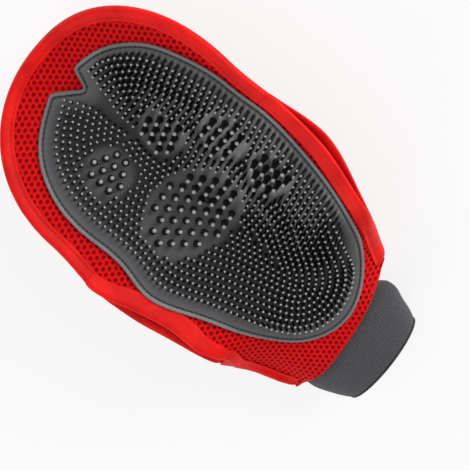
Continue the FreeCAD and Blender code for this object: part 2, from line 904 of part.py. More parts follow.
def check(pieces):
    for each in doc.Objects:
        assert "Invalid" not in each.State and "Error" not in each.State, each.Name
    for piece in pieces:
        assert not piece.Shape.isNull() and piece.Shape.isValid(), piece.Label


def build():
    pieces = fabric_pieces() + binding_pieces() + pad_pieces() + cuff_pieces()
    outside = doc.getObject("cuff_outside").Shape
    pieces.append(sculpted("wrist_seam", wrist_seam(outside)))
    centre_on_origin(pieces)
    doc.recompute()
    check(pieces)
    os.makedirs("parts", exist_ok=True)
    for piece in pieces:
        piece.Shape.exportStep(f"parts/{piece.Label}.step")
        box = piece.Shape.optimalBoundingBox(False, False)
        low = [round(c, 1) for c in (box.XMin, box.YMin, box.ZMin)]
        high = [round(c, 1) for c in (box.XMax, box.YMax, box.ZMax)]
        print(piece.Label, len(piece.Shape.Solids), round(piece.Shape.Volume), low, high)


build()
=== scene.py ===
import json
import math

import bpy
import numpy as np
from mathutils import Matrix, Vector


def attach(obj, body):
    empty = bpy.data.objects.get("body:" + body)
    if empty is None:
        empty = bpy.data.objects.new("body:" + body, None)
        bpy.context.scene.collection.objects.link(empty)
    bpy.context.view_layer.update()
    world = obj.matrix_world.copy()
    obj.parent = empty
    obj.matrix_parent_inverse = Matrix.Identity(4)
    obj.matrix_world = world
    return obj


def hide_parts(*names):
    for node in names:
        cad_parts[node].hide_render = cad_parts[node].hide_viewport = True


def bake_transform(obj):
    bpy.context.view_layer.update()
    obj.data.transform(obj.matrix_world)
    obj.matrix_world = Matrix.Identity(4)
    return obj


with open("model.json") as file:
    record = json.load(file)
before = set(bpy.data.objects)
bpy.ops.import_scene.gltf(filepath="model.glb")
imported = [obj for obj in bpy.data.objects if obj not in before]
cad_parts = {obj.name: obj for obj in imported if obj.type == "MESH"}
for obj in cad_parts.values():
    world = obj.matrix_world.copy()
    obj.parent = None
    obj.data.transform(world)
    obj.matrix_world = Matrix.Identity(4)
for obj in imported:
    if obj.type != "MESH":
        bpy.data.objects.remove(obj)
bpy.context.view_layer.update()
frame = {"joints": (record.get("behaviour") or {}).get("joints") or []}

# Pet grooming mitt lying on its back, pad up. All shapes below are in millimetres, in the mitt's own
# plan: X across, Y to the fingertips, measured from the palm centre. SHIFT moves them to the frame.

# ---- sizes

FINGER_HALF_WIDTH, PALM_HALF_WIDTH, WAIST_HALF_WIDTH, MOUTH_HALF_WIDTH = 66.5, 72.2, 60.0, 45.0
FINGER_Y, PALM_Y, WAIST_Y, MOUTH_Y = 45.0, -15.0, -62.0, -111.0
WAIST_SLOPE, MOUTH_SLOPE = 0.27, 0.30
TIP_LENGTH, TIP_POWER = 74.0, 2.2
MOUTH_SLANT, MOUTH_BULGE, MOUTH_OFFSET = 10.0, 9.0, -7.0
PALM_HEIGHT, FINGERTIP_DROP = 40.0, 10.0
CUP_SLOPE, CUP_RADIUS = 0.56, 22.0
MOUTH_SHARE, MOUTH_BLEND = 0.5, 64.0
SWELL, SWELL_X, SWELL_Y, SWELL_RADIUS = 7.0, 68.0, -58.0, 32.0
LAYERS, FLANGE_GAP = 2.7, 0.6
WALL = LAYERS + FLANGE_GAP / 2
MESH = 1.5
REST_FLAT = 0.6
RESTING = REST_FLAT + 0.02
SLOT_Y, SLOT_HALF, SLOT_OPENING = -25.0, 44.0, 15.0
# How far the palm panel's edge lies in at the middle of the left and right slot, and the back's.
INSET, NO_INSET = (11.0, 3.0), (0.0, 0.0)
SLOT_TOP, SLOT_FOOT = SLOT_Y + SLOT_HALF, SLOT_Y - SLOT_HALF
FOOT_TUCK, TUCK_ABOVE, TUCK_BELOW = 3.6, 24.0, 14.0
TIP_Y = FINGER_Y + TIP_LENGTH
LOW_Y = MOUTH_Y - 22.0
PAD_BORDER, THUMB_BORDER = 9.0, 5.5
PAD_TOP, PAD_UNDER = 2.0, 0.15
BRISTLE_PITCH, BRISTLE_ROW = 3.5, 3.55
BRISTLE_HEIGHT, NUB_HEIGHT = 6.8, 7.4
STITCH_LENGTH, STITCH_PITCH, STITCH_INSET = 1.9, 2.7, 2.4
THREAD, RED_RADIUS, CUFF_RADIUS = 0.35, 0.22, 0.25
CUFF_YAW = math.radians(8.0)
CUFF_SECTIONS = ((-6.0, 34.0, 13.0), (0.0, 36.0, 15.0), (12.0, 36.5, 17.2), (27.0, 31.0, 18.4))
CUFF_START, CUFF_END = CUFF_SECTIONS[0][0] + 0.3, CUFF_SECTIONS[-1][0] + 1.2
CUFF_WALL = 1.7
HEM_WIDTH = 1.5
HOLE_PITCH, HOLE_ROW, HOLE_TURN, HOLE_HALF = 3.42, 2.87, math.radians(12.1), (1.42, 1.2)
HOLE_DEPTH, YARN_PROUD, CLOTH_WAVES, LINING_STEP = 0.85, 0.12, 0.22, 2.2
MM = 0.001


def mouth_y(x):
    a = (x - MOUTH_OFFSET) / MOUTH_HALF_WIDTH
    return MOUTH_Y + MOUTH_SLANT * a + MOUTH_BULGE * (a * a - 1) / 2


pivot = np.array(frame["joints"][0]["pos_m"]) / MM
SHIFT = pivot - np.array([MOUTH_OFFSET, mouth_y(MOUTH_OFFSET), PALM_HEIGHT / 2])


# ---- the mitt's shape, as formulas

def smooth(t):
    t = np.clip(t, 0.0, 1.0)
    return t * t * t * (t * (6 * t - 15) + 10)


def half_width(y):
    y = np.asarray(y, float)
    stations = ((MOUTH_Y, MOUTH_HALF_WIDTH, MOUTH_SLOPE), (WAIST_Y, WAIST_HALF_WIDTH, WAIST_SLOPE),
                (PALM_Y, PALM_HALF_WIDTH, 0.0), (FINGER_Y, FINGER_HALF_WIDTH, 0.0))
    width = np.where(y < MOUTH_Y, MOUTH_HALF_WIDTH + (y - MOUTH_Y) * MOUTH_SLOPE, FINGER_HALF_WIDTH)
    for (y0, w0, s0), (y1, w1, s1) in zip(stations, stations[1:]):
        t = (y - y0) / (y1 - y0)
        cubic = (w0 * (1 + 2 * t) * (1 - t) ** 2 + w1 * t * t * (3 - 2 * t)
                 + (y1 - y0) * (s0 * t * (1 - t) ** 2 - s1 * t * t * (1 - t)))
        width = np.where((y >= y0) & (y <= y1), cubic, width)
    return width


def mouth_amount(y):
    return 1 - smooth((y - MOUTH_Y) / MOUTH_BLEND)


def middle(y):
    return MOUTH_OFFSET * mouth_amount(y)


def rim_measure(x, y):
    side = np.abs(x - middle(y)) / half_width(y)
    end = np.maximum(0.0, (y - FINGER_Y) / TIP_LENGTH)
    return side ** TIP_POWER + end ** TIP_POWER


def fullness(x, y):
    return np.maximum(0.0, 1 - rim_measure(x, y) ** 2) ** 2


def slot_amount(y):
    return np.maximum(0.0, 1 - ((y - SLOT_Y) / SLOT_HALF) ** 2) ** 2


def hand_depth(y):
    past_palm = np.maximum(0.0, y - PALM_Y) / (TIP_Y - PALM_Y)
    return PALM_HEIGHT - FINGERTIP_DROP * past_palm ** 2 - 2 * WALL


def flange(x, y):
    share = MOUTH_SHARE * mouth_amount(y)
    cup = CUP_SLOPE * (np.hypot(x, CUP_RADIUS) - CUP_RADIUS)
    across, along = (x - SWELL_X) / SWELL_RADIUS, (y - SWELL_Y) / SWELL_RADIUS
    cup = cup + SWELL * np.exp(-across * across - along * along)
    depth = hand_depth(y)
    return depth + WALL - share * depth + (1 - mouth_amount(y)) * cup


def front(x, y):
    share = MOUTH_SHARE * mouth_amount(y)
    return flange(x, y) + WALL + share * hand_depth(y) * fullness(x, y)


def back(x, y):
    share = 1 - MOUTH_SHARE * mouth_amount(y)
    slot = SLOT_OPENING * slot_amount(y) * np.minimum(1.0, rim_measure(x, y)) ** 2
    return flange(x, y) - WALL - share * hand_depth(y) * fullness(x, y) - slot


def unit(vectors):
    return vectors / np.linalg.norm(vectors, axis=-1, keepdims=True)


def normals(height, x, y, step=0.5):
    dx = (height(x + step, y) - height(x - step, y)) / (2 * step)
    dy = (height(x, y + step) - height(x, y - step)) / (2 * step)
    return unit(np.stack([-dx, -dy, np.ones_like(dx)], -1))


def laid(plan, height, lift=0.0):
    """Plan points with their height added, over a surface."""
    x, y = plan[..., 0], plan[..., 1]
    return np.stack([x, y, height(x, y) + lift], -1)


def waves(x, y, size, seed):
    """Soft unevenness between about -1 and 1, from a few crossed waves."""
    rng = np.random.default_rng(seed)
    total = 0.0
    for _ in range(5):
        angle, phase = rng.uniform(0, 2 * math.pi, 2)
        reach = size * rng.uniform(0.7, 1.5)
        total = total + np.sin((x * math.cos(angle) + y * math.sin(angle)) * 2 * math.pi / reach + phase)
    return total / 3.2


# ---- outlines

def outline(inset):
    """Plan points up the thumb side, round the fingertips and down the other side."""
    y = np.linspace(LOW_Y, FINGER_Y, 170)
    w = half_width(y)
    angle = np.linspace(0, math.pi / 2, 90)[1:]
    power = 2 / TIP_POWER
    tip_x = FINGER_HALF_WIDTH * np.maximum(0, np.cos(angle)) ** power
    tip_y = FINGER_Y + TIP_LENGTH * np.sin(angle) ** power
    right = np.stack([middle(y) + w - inset[1] * slot_amount(y), y], 1)
    left = np.stack([middle(y) - w + inset[0] * slot_amount(y), y], 1)
    tip = np.stack([tip_x, tip_y], 1)
    far_tip = np.stack([-tip_x[:-1], tip_y[:-1]], 1)
    return np.concatenate([right, tip, far_tip[::-1], left[::-1]])


def resample(points, step):
    """The same line in equal steps, with the distance along it."""
    gaps = np.linalg.norm(np.diff(points, axis=0), axis=1)
    along = np.concatenate([[0.0], np.cumsum(gaps)])
    count = max(2, int(round(along[-1] / step)) + 1)
    at = np.linspace(0, along[-1], count)
    return np.stack([np.interp(at, along, points[:, k]) for k in range(points.shape[1])], 1), at


def outward(points):
    """Unit normals to the right of the walk, which is outwards on an anticlockwise outline."""
    t = np.gradient(points, axis=0)
    t = t / np.maximum(1e-9, np.linalg.norm(t, axis=1, keepdims=True))
    return np.stack([t[:, 1], -t[:, 0]], 1)


PAD_CORNERS = (
    (0, 86.5),
    (4, 98.5), (20, 96), (35, 88), (44.5, 78.5), (51.5, 65), (58.5, 41),
    (59.5, 31), (61.6, 18), (61.5, -8), (57, -41), (46, -72), (26.5, -96),
    (3, -105), (-23, -95.5),
    (-36.5, -73), (-46.5, -41), (-55.4, -9), (-52.3, 10),
    (-53, 36), (-51.5, 56), (-36.5, 85), (-14, 98.5),
)


def natural_spline(points, step):
    """A natural cubic through the points, measured by chord length."""
    p = np.asarray(points, float)
    knot = np.concatenate([[0.0], np.cumsum(np.linalg.norm(np.diff(p, axis=0), axis=1))])
    n, h = len(p), np.diff(knot)
    matrix, right = np.eye(n), np.zeros_like(p)
    for i in range(1, n - 1):
        matrix[i, i - 1:i + 2] = h[i - 1], 2 * (h[i - 1] + h[i]), h[i]
        right[i] = 6 * ((p[i + 1] - p[i]) / h[i] - (p[i] - p[i - 1]) / h[i - 1])
    bend = np.linalg.solve(matrix, right)
    at = np.linspace(0, knot[-1], int(knot[-1] / step))
    k = np.clip(np.searchsorted(knot, at, side="right") - 1, 0, n - 2)
    a, b = ((knot[k + 1] - at) / h[k])[:, None], ((at - knot[k]) / h[k])[:, None]
    hk = h[k][:, None]
    curve = a * p[k] + b * p[k + 1]
    return curve + ((a ** 3 - a) * bend[k] + (b ** 3 - b) * bend[k + 1]) * hk * hk / 6


CORNER_ROUNDS = 8


def pad_outline(step=0.8):
    """Anticlockwise from the notch, closed: the last point meets the first."""
    curve = natural_spline(PAD_CORNERS[1:], step)
    notch = np.array([PAD_CORNERS[0]], float)
    whole = np.concatenate([notch, curve, notch])
    line = resample(whole[::-1], step)[0][:-1]
    # rounds the corners at the notch over a few millimetres
    for _ in range(CORNER_ROUNDS):
        line = (np.roll(line, 1, axis=0) + line * 2 + np.roll(line, -1, axis=0)) / 4
    return np.concatenate([line, line[:1]])


PAD_LINE = pad_outline()


def nearest_on(line, points):
    """Distance from each point to a polyline."""
    a, b = line[:-1], line[1:]
    d = b - a
    length = np.maximum(1e-9, (d * d).sum(1))
    best = np.full(len(points), 1e9)
    for start in range(0, len(points), 4000):
        p = points[start:start + 4000, None, :]
        t = np.clip(((p - a) * d).sum(2) / length, 0, 1)
        gap = np.linalg.norm(p - a - t[..., None] * d, axis=2)
        best[start:start + 4000] = gap.min(1)
    return best


def inside_line(line, points):
    x, y = points[:, 0], points[:, 1]
    crossings = np.zeros(len(points), bool)
    for (x0, y0), (x1, y1) in zip(line[:-1], line[1:]):
        spans = (y0 > y) != (y1 > y)
        if y1 != y0:
            crossings ^= spans & (x < x0 + (x1 - x0) * (y - y0) / (y1 - y0))
    return crossings


def pad_depth(points):
    """Distance in from the pad's edge, negative outside it."""
    gap = nearest_on(PAD_LINE, points)
    return np.where(inside_line(PAD_LINE, points), gap, -gap)


# ---- mesh helpers

def linked(name, data):
    """A new object in the scene."""
    made = bpy.data.objects.new(name, data)
    bpy.context.scene.collection.objects.link(made)
    return made


def turns(count):
    """Equal angles round a circle."""
    return 2 * math.pi * np.arange(count) / count


def make_object(name, vertices, faces, material, attributes=None):
    mesh = bpy.data.meshes.new(name)
    points = (np.asarray(vertices, float) + SHIFT) * MM
    mesh.from_pydata(points.tolist(), [], [list(map(int, f)) for f in faces])
    mesh.validate()
    for key, values in (attributes or {}).items():
        values = np.asarray(values, np.float32)
        kind = "FLOAT" if values.ndim == 1 else "FLOAT_VECTOR"
        layer = mesh.attributes.new(key, kind, "POINT")
        layer.data.foreach_set("value" if values.ndim == 1 else "vector", values.ravel())
    mesh.polygons.foreach_set("use_smooth", [True] * len(mesh.polygons))
    mesh.materials.append(material)
    mesh.update()
    return linked(name, mesh)


def quads(rows, columns, wrap_rows=False, wrap_columns=False, offset=0):
    r = np.arange(rows if wrap_rows else rows - 1)
    c = np.arange(columns if wrap_columns else columns - 1)
    i, j = np.meshgrid(r, c, indexing="ij")
    i2, j2 = (i + 1) % rows, (j + 1) % columns
    corners = [i * columns + j, i2 * columns + j, i2 * columns + j2, i * columns + j2]
    return np.stack([k.ravel() for k in corners], 1) + offset


def taped(name, line, section, node_name):
    """A strip of tape carried along a plan line. section gives, per line point, arrays of
    how far out, how much towards the back panel, and how high each corner lies."""
    s, toward_back, lift = section
    out = outward(line)
    along = np.arange(len(line)) * TAPE_STEP
    x = line[:, 0:1] + out[:, 0:1] * s
    y = line[:, 1:2] + out[:, 1:2] * s
    z = (1 - toward_back) * front(x, y) + toward_back * back(x, y) + lift
    vertices = np.stack([x, y, z], -1)
    rows, columns = s.shape
    faces = list(quads(rows, columns, wrap_columns=True))
    faces.append(list(range(columns)))
    faces.append(list(range((rows - 1) * columns, rows * columns))[::-1])
    steps = np.linalg.norm(np.diff(vertices[rows // 2], axis=0), axis=1)
    across = np.concatenate([[0], np.cumsum(steps)])
    cloth = np.stack([np.repeat(along[:, None], columns, 1), np.tile(across, (rows, 1)),
                      np.zeros((rows, columns))], -1)
    piece = make_object(name, vertices.reshape(-1, 3), faces, RED_SATIN, {"cloth": cloth.reshape(-1, 3)})
    return finished(piece, "mitt", node_name)


# ---- materials

WHITE, BLACK = (1, 1, 1), (0, 0, 0)
FINE_RELIEF, YARN_RELIEF, SOFT_RELIEF = 0.0002, 0.0003, 0.0006


def grey(level):
    return (level, level, level)


class Look:
    """A material, and short ways to add nodes to it. Coordinates are metres on the object, or
    millimetres where they come from a stored attribute."""

    def __init__(self, name, colour, roughness, specular, sheen=0.0, sheen_colour=WHITE):
        self.material = bpy.data.materials.new(name)
        self.material.use_nodes = True
        self.nodes, self.links = self.material.node_tree.nodes, self.material.node_tree.links
        self.shader = self.nodes["Principled BSDF"]
        self.where = self.node("TexCoord").outputs["Object"]
        for key, value in (("Base Color", (*colour, 1)), ("Roughness", roughness),
                           ("Specular IOR Level", specular), ("Sheen Weight", sheen),
                           ("Sheen Tint", (*sheen_colour, 1))):
            self.shader.inputs[key].default_value = value

    def node(self, kind, **settings):
        made = self.nodes.new("ShaderNode" + kind)
        for key, value in settings.items():
            if key in made.inputs:
                made.inputs[key].default_value = value
            else:
                setattr(made, key, value)
        return made

    def attribute(self, name, output="Fac"):
        return self.node("Attribute", attribute_name=name).outputs[output]

    def turned(self, angle):
        mapping = self.node("Mapping", Rotation=(0, 0, angle))
        self.links.new(self.where, mapping.inputs["Vector"])
        return mapping.outputs["Vector"]

    def ramp(self, source, *stops):
        made = self.node("ValToRGB")
        elements = made.color_ramp.elements
        while len(elements) < len(stops):
            elements.new(0.5)
        for element, (position, colour) in zip(elements, stops):
            element.position = position
            element.color = (*colour, 1)
        self.links.new(source, made.inputs["Fac"])
        return made.outputs["Color"]

    def mix(self, factor, a, b, blend="MIX"):
        made = self.node("Mix", data_type="RGBA", blend_type=blend)
        for number, value in ((0, factor), (6, a), (7, b)):
            if isinstance(value, bpy.types.NodeSocket):
                self.links.new(value, made.inputs[number])
            else:
                made.inputs[number].default_value = (*value, 1) if number else value
        return made.outputs[2]

    def noise(self, scale, detail=2.0, vector=None):
        made = self.node("TexNoise", Scale=scale, Detail=detail)
        self.links.new(self.where if vector is None else vector, made.inputs["Vector"])
        return made.outputs["Fac"]

    def wave(self, vector, scale, direction, distortion):
        made = self.node("TexWave", bands_direction=direction, Scale=scale, Distortion=distortion)
        self.links.new(vector, made.inputs["Vector"])
        return made.outputs["Fac"]

    def paint(self, colour):
        self.links.new(colour, self.shader.inputs["Base Color"])

    def bump(self, height, strength, distance):
        """Bumps add up: each new one takes the last one's normal."""
        made = self.node("Bump", Strength=strength, Distance=distance)
        self.links.new(height, made.inputs["Height"])
        normal = self.shader.inputs["Normal"]
        if normal.is_linked:
            self.links.new(normal.links[0].from_socket, made.inputs["Normal"])
        self.links.new(made.outputs["Normal"], normal)


def air_mesh_material(name, colour, hole_shade_colour, ridge):
    """Knitted spacer mesh: holes darkened with painted shade, lighter yarn between them, fine filaments."""
    look = Look(name, colour, 0.7, 0.1)
    yarn = look.ramp(look.noise(900.0, 3.0), (0.3, colour), (0.75, ridge))
    # painted shade in each hole, darkest at its middle
    shade = look.ramp(look.attribute("hole"), (0.04, BLACK), (0.42, WHITE))
    look.paint(look.mix(shade, yarn, hole_shade_colour))
    look.bump(look.wave(look.turned(HOLE_TURN), 340.0, "X", 2.0), 0.25, FINE_RELIEF)
    look.bump(look.noise(2600.0), 0.3, FINE_RELIEF)
    return look.material


def satin_material(name, colour, dark):
    """Woven satin tape: fine warp lines along it, a soft long sheen, a little unevenness."""
    look = Look(name, colour, 0.46, 0.14)
    cloth = look.attribute("cloth", "Vector")
    look.paint(look.ramp(look.noise(60.0, 3.0), (0.3, dark), (0.62, colour)))
    look.bump(look.wave(cloth, 0.9, "Y", 0.6), 0.22, FINE_RELIEF)
    look.bump(look.wave(cloth, 0.7, "X", 1.0), 0.10, FINE_RELIEF)
    look.bump(look.noise(260.0), 0.25, SOFT_RELIEF)
    return look.material


def tricot_material(name, colour, dark):
    """Thin warp knit with a little pile."""
    look = Look(name, colour, 0.7, 0.3, 0.15, (1, 0.6, 0.6))
    knit = look.wave(look.where, 420.0, "X", 1.5)
    look.paint(look.ramp(knit, (0.2, dark), (0.8, colour)))
    look.bump(knit, 0.5, YARN_RELIEF)
    look.bump(look.wave(look.where, 300.0, "Y", 1.0), 0.3, YARN_RELIEF)
    return look.material


def rubber_material(name, colour, light, roughness):
    """Moulded rubber: satin skin with fine grain, dust-lightened patches, painted shade in the groove and
    among the bristles, and a lighter rolled edge.
    """
    look = Look(name, colour, roughness, 0.5)
    skin = look.ramp(look.noise(30.0, 4.0), (0.35, colour), (0.75, light))
    # the pad's stored tone: painted shade among the bristles and in the groove, lighter on the rolled edge
    tone = look.ramp(look.attribute("shade_and_edge_tone"), (0.0, grey(0.10)), (0.3, (0.35, 0.35, 0.36)),
                     (0.65, (0.86, 0.86, 0.87)), (1.0, (1.7, 1.7, 1.68)))
    look.paint(look.mix(1.0, skin, tone, "MULTIPLY"))
    rough = look.ramp(look.noise(90.0, 3.0), (0.3, grey(roughness - 0.06)), (0.7, grey(roughness + 0.08)))
    look.links.new(rough, look.shader.inputs["Roughness"])
    look.bump(look.noise(1500.0, 3.0), 0.12, FINE_RELIEF)
    look.bump(look.noise(120.0), 0.2, SOFT_RELIEF)
    return look.material


def bristle_material(name, root, shaft, tip, roughness):
    """Dark shafts that turn light grey at their tips, a painted highlight where the rounded ends meet the
    light.
    """
    look = Look(name, shaft, roughness, 0.5)
    # the light grey at the top of each pin is a painted highlight
    colour = look.ramp(look.attribute("tip"), (0.0, root), (0.25, shaft), (0.86, shaft), (0.97, tip))
    dust = look.ramp(look.noise(260.0), (0.3, grey(0.8)), (0.7, WHITE))
    look.paint(look.mix(1.0, colour, dust, "MULTIPLY"))
    look.bump(look.noise(1800.0), 0.12, FINE_RELIEF)
    return look.material


def elastic_material(name, colour, light):
    """Knitted elastic: slanting ribs of dark rubber core and lighter covering yarn."""
    look = Look(name, colour, 0.78, 0.3, 0.25, (0.8, 0.8, 0.85))
    cloth = look.attribute("cloth", "Vector")
    yarn = look.ramp(look.attribute("rib"), (0.25, colour), (0.8, light))
    patches = look.ramp(look.noise(1.3, 3.0, cloth), (0.3, (0.7, 0.7, 0.72)), (0.7, grey(1.15)))
    look.paint(look.mix(1.0, yarn, patches, "MULTIPLY"))
    look.bump(look.wave(cloth, 0.55, "X", 1.2), 0.3, YARN_RELIEF)
    look.bump(look.noise(3.0, 2.0, cloth), 0.4, YARN_RELIEF)
    return look.material


def thread_material(name, colour, dark):
    """Twisted thread."""
    look = Look(name, colour, 0.5, 0.4)
    twist = look.wave(look.turned(0.6), 900.0, "X", 0.5)
    look.paint(look.ramp(twist, (0.2, dark), (0.8, colour)))
    look.bump(twist, 0.5, FINE_RELIEF)
    return look.material


RED_MESH = air_mesh_material("red_air_mesh", (0.58, 0.001, 0.003), (0.19, 0.0, 0.001), (0.80, 0.004, 0.005))
RED_SATIN = satin_material("red_satin", (0.84, 0.007, 0.004), (0.62, 0.002, 0.002))
DARK_TRICOT = tricot_material("dark_tricot", (0.16, 0.0, 0.002), (0.07, 0.0, 0.001))
PAD_RUBBER = rubber_material("pad_rubber", (0.082, 0.084, 0.088), (0.115, 0.117, 0.120), 0.40)
# the last colour is the tips' painted highlight
BRISTLE_RUBBER = bristle_material("bristle_rubber", (0.012, 0.012, 0.013), (0.010, 0.010, 0.011),
                                  (0.36, 0.36, 0.36), 0.36)
CUFF_ELASTIC = elastic_material("cuff_elastic", (0.022, 0.022, 0.026), (0.105, 0.105, 0.112))
HEM_THREAD = thread_material("hem_thread", (0.016, 0.012, 0.012), (0.006, 0.005, 0.005))
PAD_THREAD = thread_material("pad_thread", (0.016, 0.017, 0.02), (0.006, 0.006, 0.008))
RED_THREAD = thread_material("red_thread", (0.55, 0.006, 0.01), (0.3, 0.002, 0.004))


# ---- mesh panels

GRID_REACH = 175.0


def panel_grid(step_u, step_w, turn):
    """A grid over the whole mitt, turned by `turn`: plan x and y, then its own two axes."""
    columns, rows = int(GRID_REACH / step_u), int(GRID_REACH / step_w)
    u = np.arange(-columns, columns + 1) * step_u
    w = np.arange(-rows, rows + 1) * step_w
    u, w = np.meshgrid(u, w)
    x = u * math.cos(turn) - w * math.sin(turn)
    y = u * math.sin(turn) + w * math.cos(turn)
    return x, y, u, w


def foot_tuck(y):
    """How far the palm cloth draws in at the foot of the left slot, where its lip folds over."""
    above = smooth((SLOT_FOOT + TUCK_ABOVE - y) / TUCK_ABOVE)
    return FOOT_TUCK * above * smooth(1 - (SLOT_FOOT - y) / TUCK_BELOW)


def trimmed(x, y, inset, edge, loose):
    """Moves the outermost corners onto the panel's edge and says which corners are kept."""
    low = mouth_y(x)
    y = np.where((y < low) & (y > low - loose), low, y)
    side_inset = np.where(x > middle(y), inset[1], inset[0]) * slot_amount(y)
    if inset[0]:
        side_inset = side_inset + np.where(x > middle(y), 0.0, foot_tuck(y))
    width = half_width(y) - edge - side_inset
    offset = x - middle(y)
    over = np.abs(offset) - width
    body = y < FINGER_Y
    x = np.where(body & (over > 0) & (over < loose), middle(y) + np.sign(offset) * width, x)
    round_tip = (np.abs(x) / (FINGER_HALF_WIDTH - edge)) ** TIP_POWER
    round_tip = round_tip + (np.maximum(0, y - FINGER_Y) / (TIP_LENGTH - edge)) ** TIP_POWER
    tip_in = round_tip <= 1.0 + 2.2 * loose / FINGER_HALF_WIDTH
    keep = (y >= mouth_y(x) - 1e-6) & np.where(body, over < loose, tip_in)
    return x, y, keep


def sheet_from_grid(x, y, z, keep, name, material, attributes):
    rows, columns = x.shape
    faces = quads(rows, columns)
    flags = keep.ravel()
    faces = faces[flags[faces].all(1)]
    used = np.zeros(rows * columns, bool)
    used[faces.ravel()] = True
    number = np.cumsum(used) - 1
    points = np.stack([x, y, z], -1).reshape(-1, 3)[used]
    kept = {k: np.asarray(v).reshape(rows * columns, -1)[used].squeeze() for k, v in attributes.items()}
    return make_object(name, points, number[faces], material, kept)


def hole_shape(u, w):
    """1 at the middle of each hole of the knit and 0 between them, in staggered rows."""
    row = np.round(w / HOLE_ROW)
    local_w = w - row * HOLE_ROW
    local_u = u - (row % 2) * HOLE_PITCH / 2
    local_u = local_u - np.round(local_u / HOLE_PITCH) * HOLE_PITCH
    reach = np.hypot(local_u / HOLE_HALF[0], local_w / HOLE_HALF[1])
    return np.clip(1 - reach, 0, 1)


def mesh_panel(name, height, side, inset, node_name):
    """Air mesh: a fine sheet whose every hole is a dimple, side 1 up and -1 down."""
    x, y, u, w = panel_grid(HOLE_PITCH / 6, HOLE_ROW / 5, HOLE_TURN)
    hole = hole_shape(u, w)
    x, y, keep = trimmed(x, y, inset, edge=0.4, loose=0.7)
    rim = np.clip((1 - rim_measure(x, y)) * 4, 0, 1)
    soft = waves(x, y, 55.0, 3 if side > 0 else 4) * CLOTH_WAVES * rim
    if side > 0:
        under_pad = pad_depth(np.stack([x.ravel(), y.ravel()], 1)).reshape(x.shape)
        soft = soft * np.clip(-under_pad / 10, 0, 1)
    relief = HOLE_DEPTH * smooth(hole * 1.7) - YARN_PROUD
    z = height(x, y) + side * (soft - relief)
    if side < 0:
        z = np.maximum(z, RESTING)
    piece = sheet_from_grid(x, y, z, keep, name, RED_MESH, {"hole": hole})
    return finished(piece, "mitt", node_name)


def lining(name, height, side, inset, node_name):
    x, y, _, _ = panel_grid(LINING_STEP, LINING_STEP, 0.0)
    x, y, keep = trimmed(x, y, inset, edge=0.8, loose=1.6)
    gap = MESH + 0.7
    z = height(x, y) - side * gap + 0.12 * waves(x, y, 30.0, 8)
    if side < 0:
        z = np.maximum(z, REST_FLAT + gap - 0.5)
    piece = sheet_from_grid(x, y, z, keep, name, DARK_TRICOT, {})
    return finished(piece, "mitt", node_name)


# ---- bindings

TAPE_STEP, WRINKLE, PUFF, END_ROUNDING, END_DRAW = 1.1, 9.0, 0.2, 6.0, 1.5


def stretch(inset, low=-math.inf, high=math.inf, side=0, past=0.0):
    """The part of the outline between two heights, on the thumb side (1), the other (-1) or both."""
    line = outline(inset)
    keep = (line[:, 1] >= low - past) & (line[:, 1] <= high + past)
    keep &= line[:, 1] >= mouth_y(line[:, 0]) - 0.3
    if side:
        keep &= np.sign(line[:, 0]) == side
    return resample(line[keep], TAPE_STEP)[0]


# One flap of tape from its inner edge to the outer roll: distance out, height over the cloth.
FLAP = ((-6.5, 0.08), (-6.48, 0.55), (-6.1, 0.86), (-5.5, 0.90), (-4.9, 0.62), (-4.3, 0.66),
        (-3.6, 1.05), (-2.6, 1.32), (-1.5, 1.40), (-0.5, 1.22))


def tape_wrinkle(along, seed):
    """Long and short creases along the tape, between about -1 and 1."""
    long_ones = waves(along, 0.0, WRINKLE, seed)
    return 0.5 * long_ones + 0.5 * waves(along * 2.3, 0.0, WRINKLE, seed + 1)


def both_edges(line, seed, rounded_end=None, tucked=None):
    """Tape round both panels' edges: up over the palm side, round, and under the back side."""
    top = np.array(FLAP)
    roll = np.array(((0.55, -0.15), (1.2, -1.4), (1.5, -3.0)))
    inner = np.array(((-6.3, 0.02), (-3.0, 0.04), (-0.2, 0.02), (0.22, -1.0), (0.26, -3.0)))
    count = len(line)
    along = np.arange(count) * TAPE_STEP
    corners = []
    for points, way in ((np.concatenate([top, roll]), 1), (inner, -1)):
        part = [(out_by, 0.0, lift) for out_by, lift in points[:-1]]
        part.append((points[-1][0], 0.5, 0.0))
        part += [(out_by, 1.0, -lift) for out_by, lift in points[-2::-1]]
        corners += part[::way]
    s, b, h = (np.tile(np.array(k, float), (count, 1)) for k in zip(*corners))
    puff = PUFF * tape_wrinkle(along, seed)[:, None] * np.clip((s + 5.0) / 3, 0, 1) * (np.abs(h) > 0.3)
    h = h + np.where(b < 0.5, 1, -1) * puff * (b != 0.5)
    if tucked is not None:
        # the palm side's flap and roll start in line with the lip above
        s = s - tucked[:, None] * np.clip(1 - 2 * b, 0, 1)
    if rounded_end is not None:
        # the end at the mouth rounds off, its outer roll drawn in over a few millimetres
        left = np.abs(along - along[rounded_end])[:, None] / END_ROUNDING
        draw = 1 - np.sqrt(np.clip(1 - (1 - np.clip(left, 0, 1)) ** 2, 0, 1))
        s = np.where(s > -END_DRAW, s - draw * (s + END_DRAW), s)
        h = h * (1 - 0.5 * draw)
    return s, b, h


